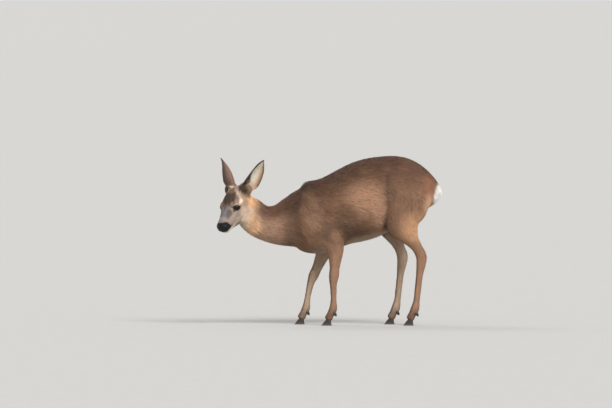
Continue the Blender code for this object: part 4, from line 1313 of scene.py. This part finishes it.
def skin_under(places):
    """Number of a skin point near each place, and -1 far from the skin."""
    cell = np.clip(((places - grid_low) / CELL).astype(int), 0, grid_size - 1)
    return nearest[tuple(cell.T)]


# %% Shape of the tufts
LONG, WIDE = (0.75, 1.2), (0.8, 1.2)  # least and greatest size of a blade, as shares of the usual one
MIDDLE, TIP = (0.55, 0.85), (0.85, 1.25)  # how high it stands, as shares of the coat's depth
STRAY, LOCKS = 0.16, 0.14  # how far single blades, and whole locks of them, stray from the lie


def set_height(places, wanted, free):
    """Moves places to the wanted height over the skin. Gives the skin point below each one too, and
    whether there is any."""
    who = skin_under(places)
    found = (who >= 0) & ~free
    who = np.maximum(who, 0)
    high = ((places - points[who]) * normals[who]).sum(1)
    shift = np.where(found, np.clip(wanted - high, -0.02, 0.02), 0)
    return places + normals[who] * shift[:, None], who, found


def at_roots(values, corners, mix):
    """Values of the skin's points, at places within its triangles."""
    return (values[corners] * (mix if values.ndim == 1 else mix[..., None])).sum(1)


def tufts(*roots):
    """Five points of each blade (two at the root, two halfway, and the tip) from the corners of its
    root's triangle and the root's place in it."""
    fields = (points, normals, lie, length, width, depth)
    root, normal, way, long, wide, deep = (at_roots(values, *roots) for values in fields)
    normal, count = unit(normal), len(root)
    free = on_ear[roots[0][:, 0]]
    long *= chance.uniform(*LONG, count)
    wide *= chance.uniform(*WIDE, count)
    locks = np.stack([ripple(root, 0.012, seed) for seed in (21, 22, 23)], -1)
    stray = STRAY * chance.normal(size=(count, 3)) + LOCKS * locks
    way = laid(way + stray, normal)
    middle = root + way * (0.5 * long)[:, None] + normal * (0.7 * deep)[:, None]
    middle, who, found = set_height(middle, deep * chance.uniform(*MIDDLE, count), free)
    next_way = np.where(found[:, None], laid(lie[who] + stray, normals[who]), way)
    tip = middle + next_way * (0.5 * long)[:, None]
    tip, *_ = set_height(tip, deep * chance.uniform(*TIP, count) + 0.0002, free)
    tip = np.where(free[:, None], tip + normal * (deep * 0.4)[:, None], tip)
    lean = chance.normal(0, 0.35, count)[:, None]
    aside = np.cross(normal, way) * np.cos(lean) + normal * np.sin(lean)
    half = aside * (wide / 2)[:, None]
    return np.stack([root - half, root + half, middle - 0.85 * half, middle + 0.85 * half, tip], 1)


# %% Material of the hairs
# A hair is keratin with scales. Many of them side by side scatter light into a dull gloss with a
# faint sheen, and no clear reflection.
hair, tree, output = new_material("winter_hair")
tint = add_node(tree, "ShaderNodeAttribute", attribute_name="coat_and_painted_light")
strand_at = add_node(tree, "ShaderNodeUVMap", uv_map="strand")
parts = add_node(tree, "ShaderNodeSeparateXYZ", {0: strand_at.outputs[0]})
# Each tuft is a little lighter or darker than its neighbours, and darker at its root.
each = add_node(tree, "ShaderNodeMapRange", {0: parts.outputs["X"], 3: 0.80, 4: 1.20})
root_dark = add_node(tree, "ShaderNodeMapRange", {0: parts.outputs["Y"], 1: 0.0, 2: 0.7, 3: 0.72, 4: 1.04})
both = add_node(tree, "ShaderNodeMath", {0: each.outputs[0], 1: root_dark.outputs[0]}, operation="MULTIPLY")
tone = add_node(tree, "ShaderNodeVectorMath", {0: tint.outputs["Color"], "Scale": both.outputs[0]}, operation="SCALE")
soft = {"Base Color": tone.outputs[0], "Roughness": 0.68, "IOR": 1.45, "Sheen Weight": 0.05, "Sheen Roughness": 0.45}
shader = add_node(tree, "ShaderNodeBsdfPrincipled", soft)
tree.links.new(shader.outputs[0], output.inputs["Surface"])

# %% One piece of coat
BLADE = np.array([0, 1, 3, 2, 2, 3, 4])  # corners of its four-sided face, then of its three-sided one
# Where the blade's five points lie about its root on the map, and how far along the blade they are.
PATCH = np.array([(-1, -1), (1, -1), (-1, 0), (1, 0), (0, 1)]) * 0.0015
ALONG_BLADE = np.array([0, 0, 0.5, 0.5, 1.0])


def fill(items, name, values, kind=np.float32):
    """Writes one property of all items of a mesh."""
    items.foreach_set(name, values.astype(kind).ravel())


def coat_piece(name, unwrap, *roots):
    """One piece of coat: its blades, their colours, a strand map for the material, and the map OFBake,
    in which each blade is a small patch at its root's place on the unwrapped skin."""
    blades = tufts(*roots)
    count = len(blades)
    number = np.arange(count)[:, None]
    mesh = bpy.data.meshes.new(name)
    mesh.vertices.add(5 * count)
    mesh.loops.add(7 * count)
    mesh.polygons.add(2 * count)
    fill(mesh.vertices, "co", blades + SHIFT)
    fill(mesh.loops, "vertex_index", 5 * number + BLADE, np.int32)
    fill(mesh.polygons, "loop_start", 7 * number + (0, 4), np.int32)
    # Blades differ by about six percent in brightness, and less in hue.
    uneven = 1 + 0.06 * chance.normal(size=(count, 1)) + 0.02 * chance.normal(size=(count, 3))
    tint = at_roots(coat_and_painted_light, *roots) * uneven
    give(mesh, "coat_and_painted_light", "FLOAT_COLOR", with_alpha(np.repeat(np.clip(tint, 0.002, 0.97), 5, 0)))
    fill(mesh.uv_layers.new(name="OFBake").data, "uv", at_roots(unwrap, *roots)[:, None] + PATCH[BLADE])
    strand = np.stack([chance.uniform(0, 1, count)[:, None] + 0 * BLADE, 0 * number + ALONG_BLADE[BLADE]], -1)
    fill(mesh.uv_layers.new(name="strand").data, "uv", strand)
    mesh.update(calc_edges=True)
    mesh.shade_smooth()
    mesh.materials.append(hair)
    piece = add_object(name, mesh)
    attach(piece, "root")
    print(name, 3 * count, "triangles")


# %% How many tufts grow where
TUFTS = 480000
HEAD_CROWD, EAR_CROWD = 1.6, 0.75  # how much closer or looser the tufts stand there
a, b, c = (points[triangles[:, k]] for k in range(3))
area = np.linalg.norm(np.cross(b - a, c - a), axis=1) / 2
middle = (a + b + c) / 3
lids = np.zeros(len(middle), bool)
for way in (1, -1):
    reach, polar, _, edge = lid_place(to_head(middle), way)
    lids |= (reach < LID_REACH) & (polar < LID_TURN) & (polar - edge < np.radians(9))
claw_top = np.zeros(len(middle), bool)
for foot in FEET:
    below, near = under_coronet(middle, foot)
    claw_top |= near & (below > -0.002)
skip = (bare[triangles].mean(1) > 0.3) | lids | claw_top
crowd = (1 / (length * width))[triangles].mean(1) * ~skip * (1 + (HEAD_CROWD - 1) * at_head[triangles].mean(1))
crowd *= np.where(on_ear[triangles[:, 0]], EAR_CROWD, 1)
wanted = area * crowd
wanted *= TUFTS / wanted.sum()
print("skin without tufts:", round(float((area * skip).sum()) * 1e4), "square centimetres")

# %% Groups of triangles, one for each piece of coat
part_of = np.array(list(places))[best]
right_ear = np.arange(len(points)) >= ear_start + len(ears[0][0])
part_of = np.where(right_ear, "ear_right", np.where(on_ear, "ear_left", part_of))[triangles[:, 0]]
mid_x = middle[:, 0]
front = np.isin(part_of, ["foreleg_left", "foreleg_right"])
rear = np.isin(part_of, ["hindleg_left", "hindleg_right"])
upper = middle[:, 2] > np.where(front, 0.36, 0.42)
group = np.select([front & ~upper, rear & ~upper, front | rear], ["forelegs", "hindlegs", "trunk"], part_of)
on_trunk = group == "trunk"
group = np.select([on_trunk & (mid_x < 0.05), on_trunk & (mid_x > 0.25)], ["shoulders", "rump"], group)
# The head has the finest hair, so its coat is four pieces, each below 200,000 triangles.
along, aside, _ = to_head(middle).T
quarter = np.char.add(np.where(along > 0.07, "head_front", "head_back"), np.where(aside > 0, "_left", "_right"))
group = np.where(group == "head", quarter, group)
names = sorted(set(group.tolist()))
print("pieces of coat:", names)


# %% Maps of the unwrapped coat
def spread(place, low=0.02, high=0.98):
    """Place along and around a tube as a map, with the place along it between low and high."""
    return np.stack([low + (high - low) * place[1], 0.02 + 0.96 * place[2]], -1)


def two_halves(one, other):
    """Left and right leg side by side in one map."""
    left = points[:, 1] < 0
    return np.where(left[:, None], spread(places[one], 0.02, 0.48), spread(places[other], 0.52, 0.98))


ear_angle = np.arccos(np.clip(-ear_t / EAR_SPAN, -1, 1)) / (2 * np.pi)
ear_angle = np.where(ear_side > 0, ear_angle, 1 - ear_angle)
MAPS = {
    "head": spread(places["head"]),
    "ear": np.stack([0.02 + 0.46 * ear_s + 0.5 * right_ear, 0.02 + 0.96 * ear_angle], -1),
    "neck": spread(places["neck"]),
    "forelegs": two_halves("foreleg_left", "foreleg_right"),
    "hindlegs": two_halves("hindleg_left", "hindleg_right"),
}
trunk_map = spread(places["trunk"])

# %% Grow the coat
for name in names:
    chosen = np.nonzero(group == name)[0]
    number = int(wanted[chosen].sum())
    total = np.cumsum(wanted[chosen])
    pick = chosen[np.searchsorted(total, chance.uniform(0, total[-1], number)).clip(0, len(chosen) - 1)]
    one, other = chance.uniform(0, 1, (2, number))
    fold = one + other > 1
    one, other = np.where(fold, 1 - one, one), np.where(fold, 1 - other, other)
    unwrap = MAPS.get(name.split("_")[0], trunk_map)
    coat_piece(f"coat_{name}", unwrap, triangles[pick], np.stack([1 - one - other, one, other], -1))

# %% End
bpy.context.view_layer.update()
